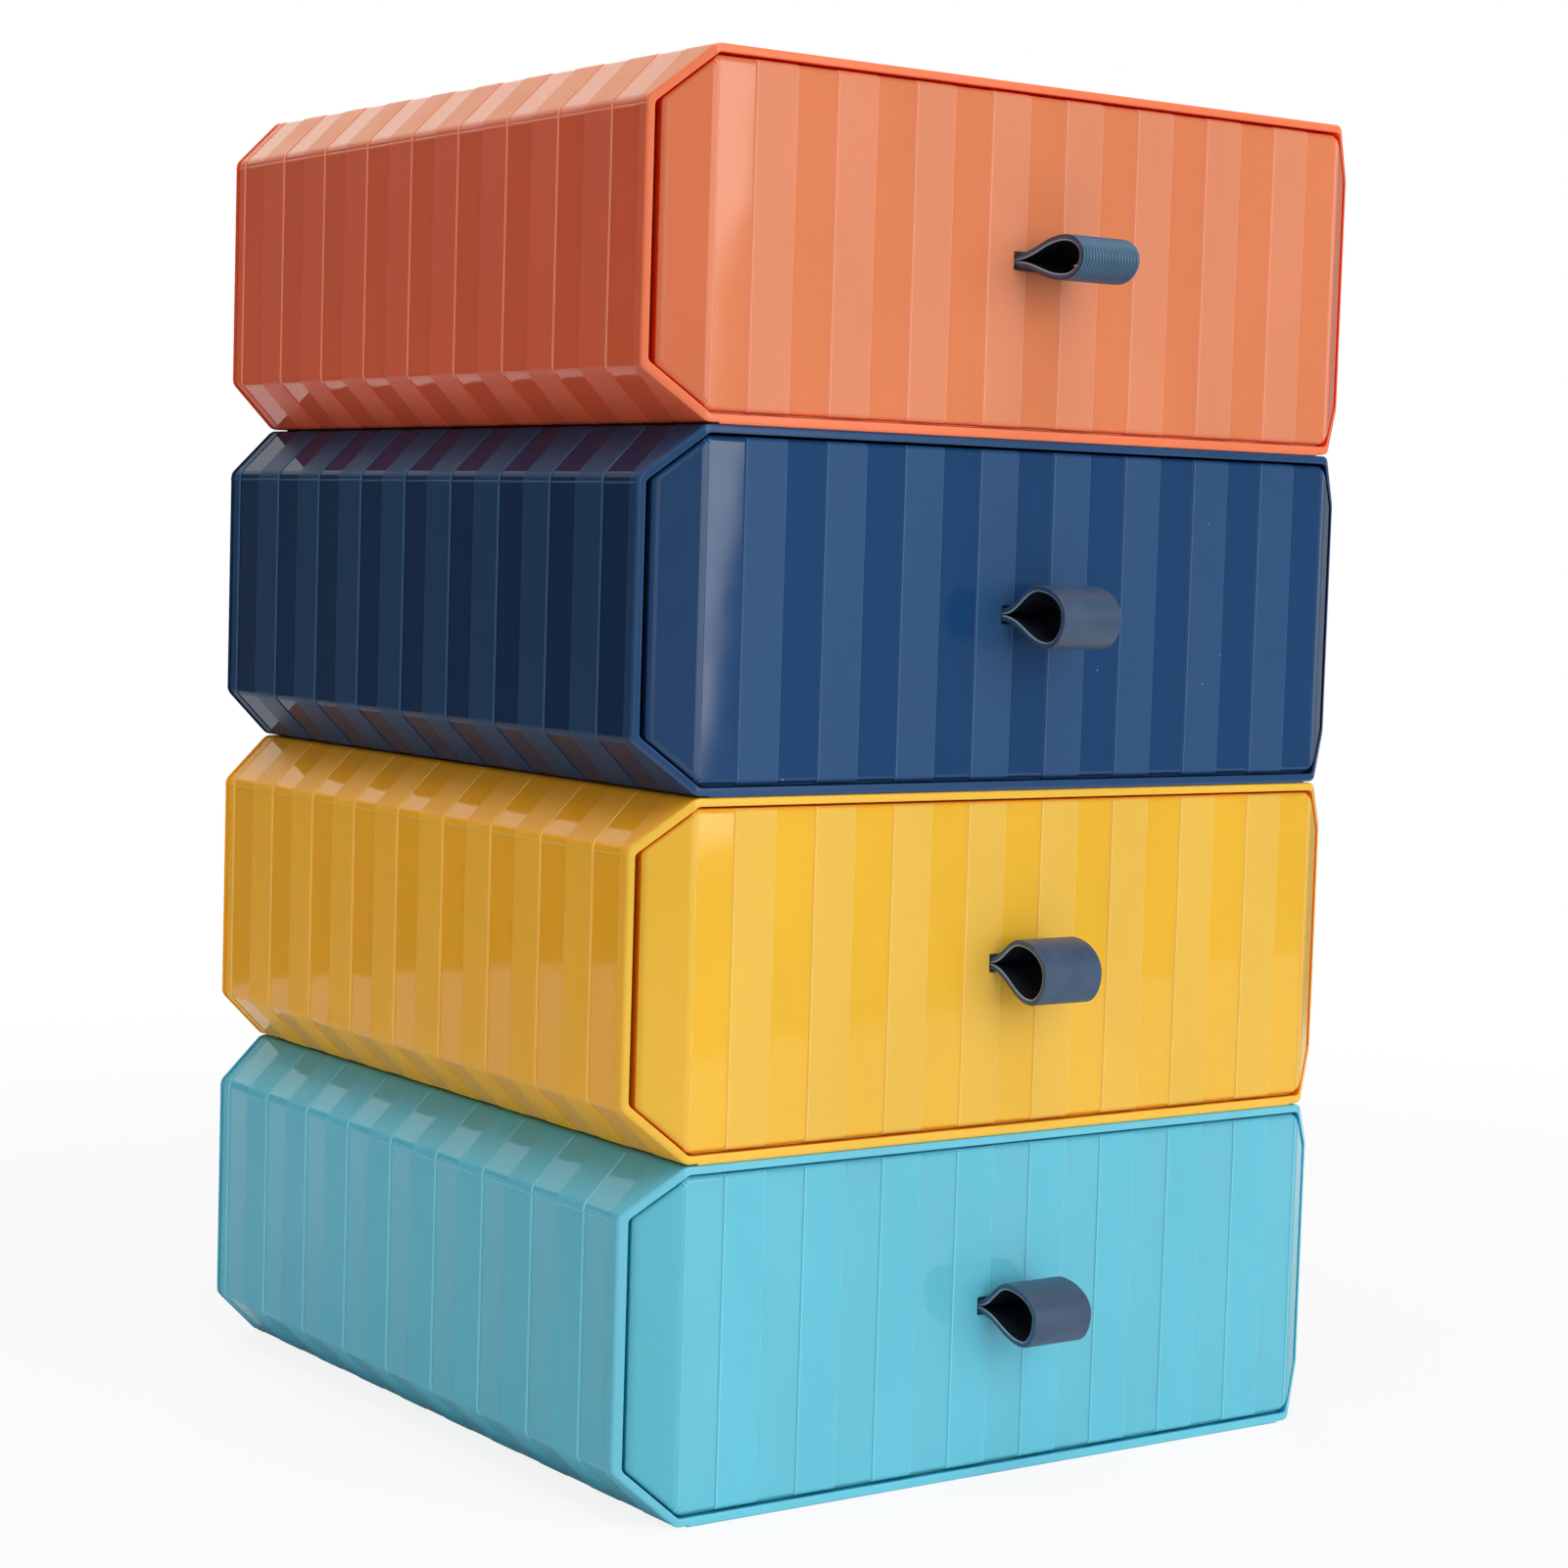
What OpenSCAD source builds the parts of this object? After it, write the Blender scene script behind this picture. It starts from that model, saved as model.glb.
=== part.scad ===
// Desktop mini drawers: four stacked modules. Each module is a one-piece casing, a one-piece drawer
// and a moulded rubber pull. X runs along the front, Y from the front to the back, Z up.
// The origin is the centre of the stack's footprint, on the surface that it stands on.

/* [Module] */
// Width of a casing
unit_w = 180; // [150:1:240]
// Depth of a casing, from the flat of its front edge to its back
unit_d = 180; // [150:1:240]
// Height that a module adds to the stack
unit_h = 70; // [60:1:110]
// Chamfer along the four long edges
edge_chamfer = 10; // [7:0.5:13]
// How far the two ends of the front are bent back
front_bevel = 8; // [5:0.5:11]
// Rounding of the long folds
fold_r = 2.5; // [1:0.5:4]
// Rounding where the front bends back
bend_r = 2; // [1:0.5:3]
// Thickness of the casing's walls
casing_wall = 1.5; // [1.2:0.1:2.5]
// Height of the flat field under a casing, which leaves a fine joint line between two modules
base_rise = 0.3; // [0.2:0.1:0.8]
// Distance of that field from the folds, the front and the back
base_inset = 3; // [2:0.5:8]

/* [Side bands] */
// Number of sunk bands on each side of a casing
side_grooves = 9; // [5:1:13]
// Depth of a sunk band
band_step = 0.35; // [0.2:0.05:0.6]
// Width of the raised collar behind the front edge
front_collar = 2.8; // [2:0.1:6]
// Width of the raised collar at the back
rear_collar = 4.9; // [2:0.1:8]

/* [Drawer front] */
// Number of upright strips on the flat of the front, the first and last of them sunk
front_strips = 17; // [9:2:25]
// Height of a raised strip over a sunk one
strip_step = 0.4; // [0.2:0.05:0.6]
// Thickness of the front behind a sunk strip
front_wall = 2; // [1.6:0.1:3]
// How far the raised strips lie behind the casing's front edge
front_setback = 0.3; // [0:0.1:1]
// Gap between the front and the casing at each side
side_gap = 0.9; // [0.6:0.1:1.5]
// Gap between the front and the casing above, below and along the chamfers
rim_gap = 0.5; // [0.4:0.1:1]

/* [Drawer tray] */
// Thickness of the tray's sides and back
tray_wall = 1.5; // [1.2:0.1:2.5]
// Thickness of the tray's floor and of its sloping lower edges
tray_floor = 1.6; // [1.2:0.1:2.5]
// Gap between the tray and the casing at each side
tray_gap = 1.2; // [1:0.1:2]
// Running gap below and behind the tray
slide_gap = 0.3; // [0.2:0.05:0.5]
// Distance of the tray's rim below the casing's upper fold
rim_drop = 2; // [0:0.5:10]
// Outside rounding of the tray's two upright back corners
tray_corner_r = 4; // [3:0.5:8]
// Travel of the drawer from closed to its stop
drawer_travel = 135; // [60:1:140]

/* [Drawer stop] */
// Width of the tab on the tray's back and of the lug that it meets
stop_w = 36; // [20:1:60]
// Gap between the tab and the casing's ceiling
stop_tab_gap = 0.4; // [0.3:0.1:0.6]
// Depth of the lug below the casing's ceiling
stop_lug_h = 1; // [0.8:0.1:1.4]
// Length of the lug along the slide
stop_lug_l = 2; // [1:0.5:4]

/* [Pull] */
// Width of the rubber strap
strap_w = 14.6; // [10:0.2:20]
// Thickness of the rubber strap
strap_t = 1.3; // [1:0.1:1.6]
// Gap between the strap's two legs where they pass through the front
leg_gap = 0.4; // [0.2:0.1:0.8]
// Gap between the strap's two edges and the ends of its slot
slot_end_gap = 0.4; // [0.2:0.1:0.8]
// Gap between the strap's legs and the slot above and below
slot_gap = 0.3; // [0.2:0.1:0.6]
// Height of the slot's middle over the middle of the module
slot_rise = 0.2; // [-5:0.1:5]
// Length of the thick ends that hold the strap behind the front
tail_l = 2; // [1.5:0.1:4]
// How far the thick ends reach above and below the slot
tail_rise = 1.6; // [1:0.1:3]
// Clearance between the thick ends and the back of the front
tail_gap = 0.2; // [0.1:0.05:0.4]

/* [Hidden] */

// Colours of the modules from the bottom up, and of the pulls
module_colour = ["#5db2c6", "#e9b743", "#274a78", "#e08158"];
pull_colour = "#46618a";

// Places of a loop's crest, nose and belly from the middle of its slot, as [out, up], measured on
// the outside of the strap, from the bottom module up. The top one is the strap pressed flat.
loop_crest = [[9.0, 6.3], [8.8, 5.7], [10.8, 6.2], [14.0, 4.5]];
loop_nose = [[18.3, 0.6], [17.6, -0.8], [19.4, 0.1], [20.9, 0.0]];
loop_belly = [[13.9, -5.6], [12.6, -7.0], [13.9, -6.2], [14.5, -4.4]];

// Segments in a fold's arc and in each quarter of a loop
fold_steps = 4;
loop_steps = 8;
// Handle length of a curve that stands for a quarter of an ellipse, and of a loop's legs
quarter_handle = 0.5523;
leg_handle = 0.4;
// Reach of a cutter past the face that it leaves
past = 1;

// Planes and half widths that the pieces share
half_w = unit_w / 2;
flat_half = half_w - edge_chamfer;
front_y = -unit_d / 2;
back_y = unit_d / 2;
inner_half = half_w - casing_wall;
floor_z = base_rise + casing_wall;
ceiling_z = unit_h - casing_wall;
bevel_slope = front_bevel / edge_chamfer;

// Side bands, all of one width
band_count = 2 * side_grooves - 1;
band_w = (unit_d - front_bevel - front_collar - rear_collar) / band_count;
first_band_y = front_y + front_bevel + front_collar;

// Front panel
strip_w = 2 * flat_half / front_strips;
raised_y = front_y + front_setback;
sunk_y = raised_y + strip_step;
panel_back_y = sunk_y + front_wall;
panel_half = inner_half - side_gap;
panel_low = floor_z + rim_gap;
panel_high = ceiling_z - rim_gap;
// Shift of the bends from the panel's raised face to its back, which keeps the bent wall one thickness
back_shift = -(panel_back_y - raised_y) * tan(atan(bevel_slope) / 2);

// Tray
tray_half = inner_half - tray_gap;
tray_low = floor_z + slide_gap;
tray_high = unit_h - edge_chamfer - rim_drop;
tray_back_y = back_y - casing_wall - slide_gap;

// Stop
tab_high = ceiling_z - stop_tab_gap;
lug_back_y = tray_back_y - tray_wall - drawer_travel - slide_gap;

// Slot and the strap's legs
slot_z = unit_h / 2 + slot_rise;
leg_z = (leg_gap + strap_t) / 2;
slot_half_h = leg_gap / 2 + strap_t + slot_gap;
slot_half_w = strap_w / 2 + slot_end_gap;

// Direction of a vector
function unit(v) = v / norm(v);

// Arc of radius r that rounds the corner b between the points a and c
function corner_arc(a, b, c, r) =
    let (
        to_a = unit(a - b),
        to_c = unit(c - b),
        half = acos(to_a * to_c) / 2,
        centre = b + unit(to_a + to_c) * r / sin(half),
        first = unit(b + to_a * r / tan(half) - centre),
        last = unit(b + to_c * r / tan(half) - centre),
        turn = 180 - 2 * half
    )
    [
        for (i = [0 : fold_steps])
            let (s = i / fold_steps)
            centre + r * (sin((1 - s) * turn) * first + sin(s * turn) * last) / sin(turn)
    ];

// Closed outline with every corner rounded by its own radius; a radius of 0 leaves it sharp
function rounded(points, radii) =
    let (n = len(points))
    [
        for (i = [0 : n - 1])
            each radii[i] == 0
                ? [points[i]]
                : corner_arc(points[(i + n - 1) % n], points[i], points[(i + 1) % n], radii[i])
    ];

// Chamfer left on a section that is inset by dx at the sides, dz above and below, and n along the chamfer
function inset_chamfer(dx, dz, n) = edge_chamfer - dx - dz + n * sqrt(2);

// Eight-sided section in X and Z with rounded folds
function octagon(half, low, high, chamfer, r) =
    rounded(
        [
            [half - chamfer, low], [half, low + chamfer],
            [half, high - chamfer], [half - chamfer, high],
            [chamfer - half, high], [-half, high - chamfer],
            [-half, low + chamfer], [chamfer - half, low]
        ],
        [for (i = [0 : 7]) r]
    );

// Plan of all that lies behind a front which is bent back at its ends: face_y is the flat's place,
// shift moves the bends along X, half and rear_y close the outline
function behind_front(face_y, shift, half, rear_y, rear_r) =
    let (bend = flat_half + shift, end_y = face_y + (half - bend) * bevel_slope)
    rounded(
        [[-bend, face_y], [bend, face_y], [half, end_y], [half, rear_y], [-half, rear_y], [-half, end_y]],
        [bend_r, bend_r, 0, rear_r, rear_r, 0]
    );

// Point and heading of a cubic curve
function curve(p, t) =
    pow(1 - t, 3) * p[0] + 3 * pow(1 - t, 2) * t * p[1] + 3 * (1 - t) * t * t * p[2] + pow(t, 3) * p[3];
function heading(p, t) =
    unit(pow(1 - t, 2) * (p[1] - p[0]) + 2 * (1 - t) * t * (p[2] - p[1]) + t * t * (p[3] - p[2]));

// The four curves of a loop's middle line, from the slot over the crest, nose and belly back to the slot
function loop_curves(level) =
    let (
        half_t = strap_t / 2,
        crest = loop_crest[level] - [0, half_t],
        nose = loop_nose[level] - [half_t, 0],
        belly = loop_belly[level] + [0, half_t]
    )
    [
        [[0, leg_z], [leg_handle * crest[0], leg_z], [(1 - leg_handle) * crest[0], crest[1]], crest],
        [
            crest,
            [crest[0] + quarter_handle * (nose[0] - crest[0]), crest[1]],
            [nose[0], nose[1] + quarter_handle * (crest[1] - nose[1])],
            nose
        ],
        [
            nose,
            [nose[0], nose[1] + quarter_handle * (belly[1] - nose[1])],
            [belly[0] + quarter_handle * (nose[0] - belly[0]), belly[1]],
            belly
        ],
        [belly, [(1 - leg_handle) * belly[0], belly[1]], [leg_handle * belly[0], -leg_z], [0, -leg_z]]
    ];

// One face of the strap's loop, offset from the middle line
function loop_side(level, offset) =
    let (curves = loop_curves(level))
    [
        for (k = [0 : 3], i = [k == 0 ? 0 : 1 : loop_steps])
            let (h = heading(curves[k], i / loop_steps))
            curve(curves[k], i / loop_steps) + offset * [-h[1], h[0]]
    ];

// Points in reverse order
function reversed(points) = [for (i = [len(points) - 1 : -1 : 0]) points[i]];

// Extrudes a section drawn in X and Z from y0 to y1
module along_y(y0, y1) {
    translate([0, y1, 0])
        rotate([90, 0, 0])
            linear_extrude(y1 - y0)
                children();
}

// Puts a piece at its level in the stack
module at_level(level) {
    translate([0, 0, level * unit_h])
        children();
}

// Region outside the sunk face of one side, in X and Z
module band_section() {
    r = fold_r - band_step;
    chamfer = inset_chamfer(band_step, 0, band_step);
    outer = half_w + past;
    half = half_w - band_step;
    contour = rounded(
        [
            [half - chamfer - past, base_rise - past],
            [half, base_rise + chamfer],
            [half, unit_h - chamfer],
            [half - chamfer - past, unit_h + past]
        ],
        [0, r, r, 0]
    );
    polygon(concat(contour, [[outer, unit_h + past], [outer, base_rise - past]]));
}

// Sunk bands of both sides, which run out at the top and bottom faces
module side_bands() {
    for (side = [0, 1])
        mirror([side, 0, 0])
            for (i = [0 : side_grooves - 1])
                along_y(first_band_y + 2 * i * band_w, first_band_y + (2 * i + 1) * band_w)
                    band_section();
}

// Casing: a sleeve with a closed back, bent-back front edge and banded sides
module casing(level) {
    inner_chamfer = inset_chamfer(casing_wall, casing_wall, casing_wall);
    color(module_colour[level])
        at_level(level) {
            difference() {
                intersection() {
                    along_y(front_y, back_y)
                        polygon(octagon(half_w, base_rise, unit_h, edge_chamfer, fold_r));
                    linear_extrude(unit_h)
                        polygon(behind_front(front_y, 0, half_w, back_y, 0));
                }
                side_bands();
                along_y(front_y - past, back_y - casing_wall)
                    polygon(octagon(inner_half, floor_z, ceiling_z, inner_chamfer, fold_r - casing_wall / 2));
            }
            base_field();
            stop_lug();
        }
}

// Flat field that the casing rests on
module base_field() {
    translate([base_inset - flat_half, front_y + base_inset, 0])
        cube([2 * (flat_half - base_inset), unit_d - 2 * base_inset, floor_z - casing_wall / 2]);
}

// Lug under the casing's ceiling that stops the drawer's tab
module stop_lug() {
    translate([-stop_w / 2, lug_back_y - stop_lug_l, ceiling_z - stop_lug_h])
        cube([stop_w, stop_lug_l, stop_lug_h + casing_wall / 2]);
}

// Front panel with its outline, bent ends and raised strips
module front_panel() {
    chamfer = inset_chamfer(casing_wall + side_gap, casing_wall + rim_gap, casing_wall + rim_gap);
    intersection() {
        along_y(front_y, panel_back_y + front_bevel)
            polygon(octagon(panel_half, panel_low, panel_high, chamfer, fold_r - casing_wall / 2));
        difference() {
            linear_extrude(unit_h)
                polygon(behind_front(raised_y, 0, half_w, 0, 0));
            translate([0, 0, -past])
                linear_extrude(unit_h + 2 * past)
                    polygon(behind_front(panel_back_y, back_shift, half_w + past, past, 0));
            sunk_strips();
        }
    }
}

// Cutters for the sunk strips, every other one from the first
module sunk_strips() {
    for (i = [0 : 2 : front_strips - 1])
        translate([i * strip_w - flat_half, raised_y - past, -past])
            cube([strip_w, past + strip_step, unit_h + 2 * past]);
}

// Section of the tray in X and Z, inset from the tray's outside; high leaves it open above
function tray_section(wall, floor, high, r) =
    let (
        chamfer = inset_chamfer(casing_wall + tray_gap + wall, casing_wall + slide_gap + floor,
            casing_wall + slide_gap + tray_gap / 2 + floor),
        half = tray_half - wall,
        low = tray_low + floor
    )
    rounded(
        [
            [half - chamfer, low], [half, low + chamfer], [half, high],
            [-half, high], [-half, low + chamfer], [chamfer - half, low]
        ],
        [r, r, 0, 0, r, r]
    );

// Solid block of the tray from inside the panel's wall, with the tab on its back that meets the stop
module tray_block() {
    intersection() {
        linear_extrude(unit_h)
            polygon(behind_front(panel_back_y - front_wall / 2, back_shift, tray_half, tray_back_y,
                tray_corner_r));
        union() {
            along_y(front_y, tray_back_y)
                polygon(tray_section(0, 0, tray_high, fold_r));
            translate([-stop_w / 2, tray_back_y - tray_wall, tray_low])
                cube([stop_w, tray_wall, tab_high - tray_low]);
        }
    }
}

// Hollow of the tray, from the back of the front panel to the back wall
module tray_hollow() {
    intersection() {
        linear_extrude(unit_h + past)
            polygon(behind_front(panel_back_y, back_shift, tray_half - tray_wall, tray_back_y - tray_wall,
                tray_corner_r - tray_wall));
        along_y(front_y, tray_back_y)
            polygon(tray_section(tray_wall, tray_floor, unit_h + past, fold_r - tray_wall / 2));
    }
}

// Drawer: tray and front in one piece, with the slot for its pull
module drawer(level) {
    color(module_colour[level])
        at_level(level)
            difference() {
                union() {
                    front_panel();
                    tray_block();
                }
                tray_hollow();
                translate([-slot_half_w, raised_y - past, slot_z - slot_half_h])
                    cube([2 * slot_half_w, panel_back_y - raised_y + 2 * past, 2 * slot_half_h]);
            }
}

// Outline of the strap as [out, up] from the face of the sunk strip: thick end, leg, loop, leg, thick end
function strap_outline(level) =
    let (
        leg_in = -(panel_back_y + tail_gap - sunk_y),
        end_in = leg_in - tail_l,
        inside = leg_gap / 2,
        outside = leg_gap / 2 + strap_t,
        high = slot_half_h + tail_rise
    )
    concat(
        [[end_in, inside], [end_in, high], [leg_in, high], [leg_in, outside]],
        loop_side(level, strap_t / 2),
        [[leg_in, -outside], [leg_in, -high], [end_in, -high], [end_in, -inside]],
        reversed(loop_side(level, -strap_t / 2))
    );

// Pull: a rubber strap whose two legs pass through the slot to thick ends behind the front
module pull(level) {
    color(pull_colour)
        at_level(level)
            translate([-strap_w / 2, sunk_y, slot_z])
                rotate([90, 0, 90])
                    linear_extrude(strap_w)
                        mirror([1, 0])
                            polygon(strap_outline(level));
}

casing(0);  // teal_casing
drawer(0);  // teal_drawer
pull(0);  // teal_pull
casing(1);  // yellow_casing
drawer(1);  // yellow_drawer
pull(1);  // yellow_pull
casing(2);  // blue_casing
drawer(2);  // blue_drawer
pull(2);  // blue_pull
casing(3);  // orange_casing
drawer(3);  // orange_drawer
pull(3);  // orange_pull
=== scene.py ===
"""Dresses a stack of four desk drawers and sets up a plain studio round it."""
import logging
import math
from collections.abc import Callable, Sequence
from dataclasses import dataclass, field
from enum import Enum

import bmesh
import bpy
from mathutils import Matrix, Vector


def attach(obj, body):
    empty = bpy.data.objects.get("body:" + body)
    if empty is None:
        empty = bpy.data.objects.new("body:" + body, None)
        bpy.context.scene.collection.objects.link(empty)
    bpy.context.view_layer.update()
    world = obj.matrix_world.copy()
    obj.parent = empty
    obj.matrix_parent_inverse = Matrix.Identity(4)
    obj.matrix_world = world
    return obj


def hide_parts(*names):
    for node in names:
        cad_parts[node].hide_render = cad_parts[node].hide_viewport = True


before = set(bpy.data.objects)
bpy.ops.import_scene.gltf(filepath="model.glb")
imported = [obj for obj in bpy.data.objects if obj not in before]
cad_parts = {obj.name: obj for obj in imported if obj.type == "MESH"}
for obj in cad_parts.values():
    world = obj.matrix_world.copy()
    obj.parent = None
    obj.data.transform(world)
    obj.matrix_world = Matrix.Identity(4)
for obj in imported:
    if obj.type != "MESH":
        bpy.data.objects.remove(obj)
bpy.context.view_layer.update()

LOG = logging.getLogger("drawers")
MM = 0.001
QUARTER = math.pi / 2
TINY = 1e-6
MERGE_DISTANCE = 1e-7
AREA_WEIGHT = 100
CLOUD_DETAIL, GRAIN_DETAIL, WAVE_DETAIL = 4.0, 3.0, 1.0

# Shares of the way down a step: a face is sunk from ALL_SUNK on, it is part of the step's crest where
# it drops by more than CREST_DROP and ends above CREST_END, and of its wall from WALL_DROP on.
ALL_SUNK = 0.95
CREST_DROP = 0.01
CREST_END = 0.42
WALL_DROP = 0.15

Object = bpy.types.Object
Material = bpy.types.Material
Loop = list[Vector]
Vert = bmesh.types.BMVert
Socket = bpy.types.NodeSocket
Colour = tuple[float, float, float, float]


class Level(Enum):
    """Modules of the stack, counted from the bottom."""

    TEAL = 0
    YELLOW = 1
    BLUE = 2
    ORANGE = 3


class Sheen(Enum):
    """Material slot of a moulded piece: the finish of one of its faces, some slots with light and shade
    painted into their colour.
    """

    SATIN = 0
    GLOSS = 1
    # Painted light on the casing's lip and mould seam, paler than the satin; painted shade on the drawer's
    # bent ends, deeper than the satin.
    EDGE = 2
    # Painted shade: a deeper, more saturated colour on the walls inside the gaps, standing in for the dim
    # red light there.
    GAP = 3
    # On the drawer, painted shade on the strip walls; on the casing, the back rounding in about the
    # satin's colour, with less glow.
    STEP = 4
    # Painted highlight: a paler colour on the crests of the steps and on the casing's band walls that face
    # the front.
    CREST = 5


class Skin(Enum):
    """Material slot of a strap: where on the rubber a face lies."""

    OUTSIDE = 0
    # Painted shade: much darker rubber on the inside of the loop.
    INSIDE = 1
    RIM = 2
    # Painted light: paler rubber on the ridges between the grooves.
    RIDGE = 3
    # Painted shade: darker rubber in the grooves.
    GROOVE = 4


class Grooves(Enum):
    """Face of the strap that carries the fine grooves."""

    OUTSIDE = 1
    INSIDE = -1


# --------------------------------------------------------------------------------------------------
# Outlines and meshes. Lengths are in millimetres until a mesh is made.


def quarter_round(radius: float, steps: int) -> list[tuple[float, float]]:
    """Quarter circle that turns from one face into the next.

    Args:
        radius: Radius of the rounding.
        steps: Number of segments.

    Returns:
        Pairs of the distance behind the first face's end and the inset from the second face.
    """
    angles = [QUARTER * i / steps for i in range(steps + 1)]
    return [(radius * (1 - math.sin(a)), radius * (1 - math.cos(a))) for a in angles]


def corner_arc(before: Vector, corner: Vector, after: Vector, radius: float, steps: int) -> Loop:
    """Arc that rounds one corner of an outline.

    Args:
        before: Point before the corner.
        corner: The sharp corner.
        after: Point after the corner.
        radius: Radius of the arc.
        steps: Number of segments.

    Returns:
        The arc's points in order.
    """
    to_before = (before - corner).normalized()
    to_after = (after - corner).normalized()
    half = to_before.angle(to_after) / 2
    centre = corner + (to_before + to_after).normalized() * radius / math.sin(half)
    first = corner + to_before * radius / math.tan(half) - centre
    last = corner + to_after * radius / math.tan(half) - centre
    turn = math.pi - 2 * half
    return [
        centre + (first * math.sin((1 - s) * turn) + last * math.sin(s * turn)) / math.sin(turn)
        for s in (i / steps for i in range(steps + 1))
    ]


@dataclass(frozen=True)
class StepEdge:
    """Rounded step between a raised and a sunk band, drawn across the edge."""

    height: float
    top_round: float
    foot_round: float
    draft: float = 0.03
    steps: int = 3

    def profile(self) -> list[tuple[float, float]]:
        """Points from the raised to the sunk side, as distance past the edge and share of the step."""
        top = [(-across, depth) for across, depth in quarter_round(self.top_round, self.steps)]
        foot = [
            (self.draft + across, self.height - rise)
            for rise, across in quarter_round(self.foot_round, self.steps)
        ]
        return [(across, depth / self.height) for across, depth in top + foot]

    def share(self, past: float) -> float:
        """Share of the step that is reached at a place.

        Args:
            past: Distance past the edge, towards the sunk side.

        Returns:
            The share, from 0 on the raised side to 1 on the sunk side.
        """
        points = self.profile()
        if past <= points[0][0]:
            return 0.0
        for (u0, v0), (u1, v1) in zip(points, points[1:]):
            if past <= u1:
                return v0 + (v1 - v0) * (past - u0) / (u1 - u0)
        return 1.0


@dataclass(frozen=True)
class FrontBend:
    """Plan of a front whose two ends are bent back."""

    start: float
    slope: float
    radius: float

    def arc(self) -> tuple[float, float]:
        """Start of the bend's rounding along X, and the angle of the bend."""
        angle = math.atan(self.slope)
        return self.start - self.radius * math.tan(angle / 2), angle

    def setback(self, x: float) -> float:
        """Distance of the front behind its flat.

        Args:
            x: Place along X, on either side.

        Returns:
            The distance, 0 as far as the bend's rounding.
        """
        arc_start, angle = self.arc()
        along = abs(x) - arc_start
        if along <= 0:
            return 0.0
        if along < self.radius * math.sin(angle):
            return self.radius - math.sqrt(self.radius**2 - along**2)
        return (abs(x) - self.start) * self.slope

    def marks(self, steps: int) -> list[float]:
        """Places along X that the rounding of the bend needs."""
        arc_start, angle = self.arc()
        return [arc_start + self.radius * math.sin(angle * i / steps) for i in range(steps + 1)]


@dataclass(frozen=True)
class Section:
    """Eight-sided outline in X and Z with rounded folds."""

    half: float
    low: float
    high: float
    chamfer: float
    fold: float
    steps: int = 6
    least_fold: float = 0.05

    def inset(self, side: float, flat: float, slope: float) -> "Section":
        """Outline moved inwards by its own amount at the sides, the flats and the slopes."""
        chamfer = self.chamfer - side - flat + slope * math.sqrt(2)
        fold = max(self.fold - slope, self.least_fold)
        return Section(self.half - side, self.low + flat, self.high - flat, chamfer, fold, self.steps)

    def ring(
        self, low_marks: Sequence[float], side_marks: Sequence[float], high_marks: Sequence[float]
    ) -> Loop:
        """Closed outline, from the middle of the bottom round by the right.

        Args:
            low_marks: Extra places on the right half of the bottom, outwards.
            side_marks: Extra heights on the sides, upwards.
            high_marks: Extra places on the right half of the top, inwards.

        Returns:
            Points as (x, z), the left half mirroring the right one.
        """
        inner, low, high = self.half - self.chamfer, self.low, self.high
        sharp = [
            (0, low), (inner, low), (self.half, low + self.chamfer),
            (self.half, high - self.chamfer), (inner, high), (0, high),
        ]
        arcs = [
            corner_arc(*(Vector(p) for p in sharp[k : k + 3]), self.fold, self.steps)
            for k in range(len(sharp) - 2)
        ]
        right = [
            *(Vector((x, low)) for x in low_marks), *arcs[0], *arcs[1],
            *(Vector((self.half, z)) for z in side_marks), *arcs[2], *arcs[3],
            *(Vector((x, high)) for x in high_marks),
        ]
        return right + [Vector((-p.x, p.y)) for p in reversed(right)]

    def reach(self) -> float:
        """Reach of one fold's tangent points from its corner, along the faces."""
        return self.fold * math.tan(math.pi / 8)

    def edge_at(self, x: float) -> tuple[float, float, float]:
        """Height of the upper edge at x, with the outline's outward direction there.

        Args:
            x: Place along X, on either side.

        Returns:
            The height, and how far the outward direction points sideways and up.
        """
        x = min(abs(x), self.half)
        reach, head = self.reach(), self.half - self.chamfer
        if x <= head - reach:
            return self.high, 0.0, 1.0
        if x <= head + reach * math.sqrt(0.5):
            across = (x - head + reach) / self.fold
            up = math.sqrt(max(1 - across**2, 0.0))
            return self.high - self.fold * (1 - up), across, up
        if x <= self.half - self.fold * (1 - math.sqrt(0.5)):
            return self.high - (x - head), math.sqrt(0.5), math.sqrt(0.5)
        across = (x - self.half + self.fold) / self.fold
        up = math.sqrt(max(1 - across**2, 0.0))
        return self.high - self.chamfer - reach + self.fold * up, across, up

    def fold_marks(self) -> list[float]:
        """Places along X that the two folds of the upper right edge need."""
        head = self.half - self.chamfer - self.reach()
        side = self.half - self.fold
        turns = [i / self.steps for i in range(self.steps + 1)]
        eighth = math.pi / 4
        return [head + self.fold * math.sin(eighth * t) for t in turns] + [
            side + self.fold * math.cos(eighth * (1 - t)) for t in turns
        ]


# Numbers of the points on a casing's outline: the two marks of the base field, then the arcs of
# the foot and the low fold, the three marks of the seam, and the arcs of the high fold and the head.
ARC = Section.steps + 1
FOOT = 2
LOW_FOLD = FOOT + ARC
SEAM = LOW_FOLD + ARC
HEAD = SEAM + 3 + ARC
HEAD_END = HEAD + ARC - 1


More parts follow.
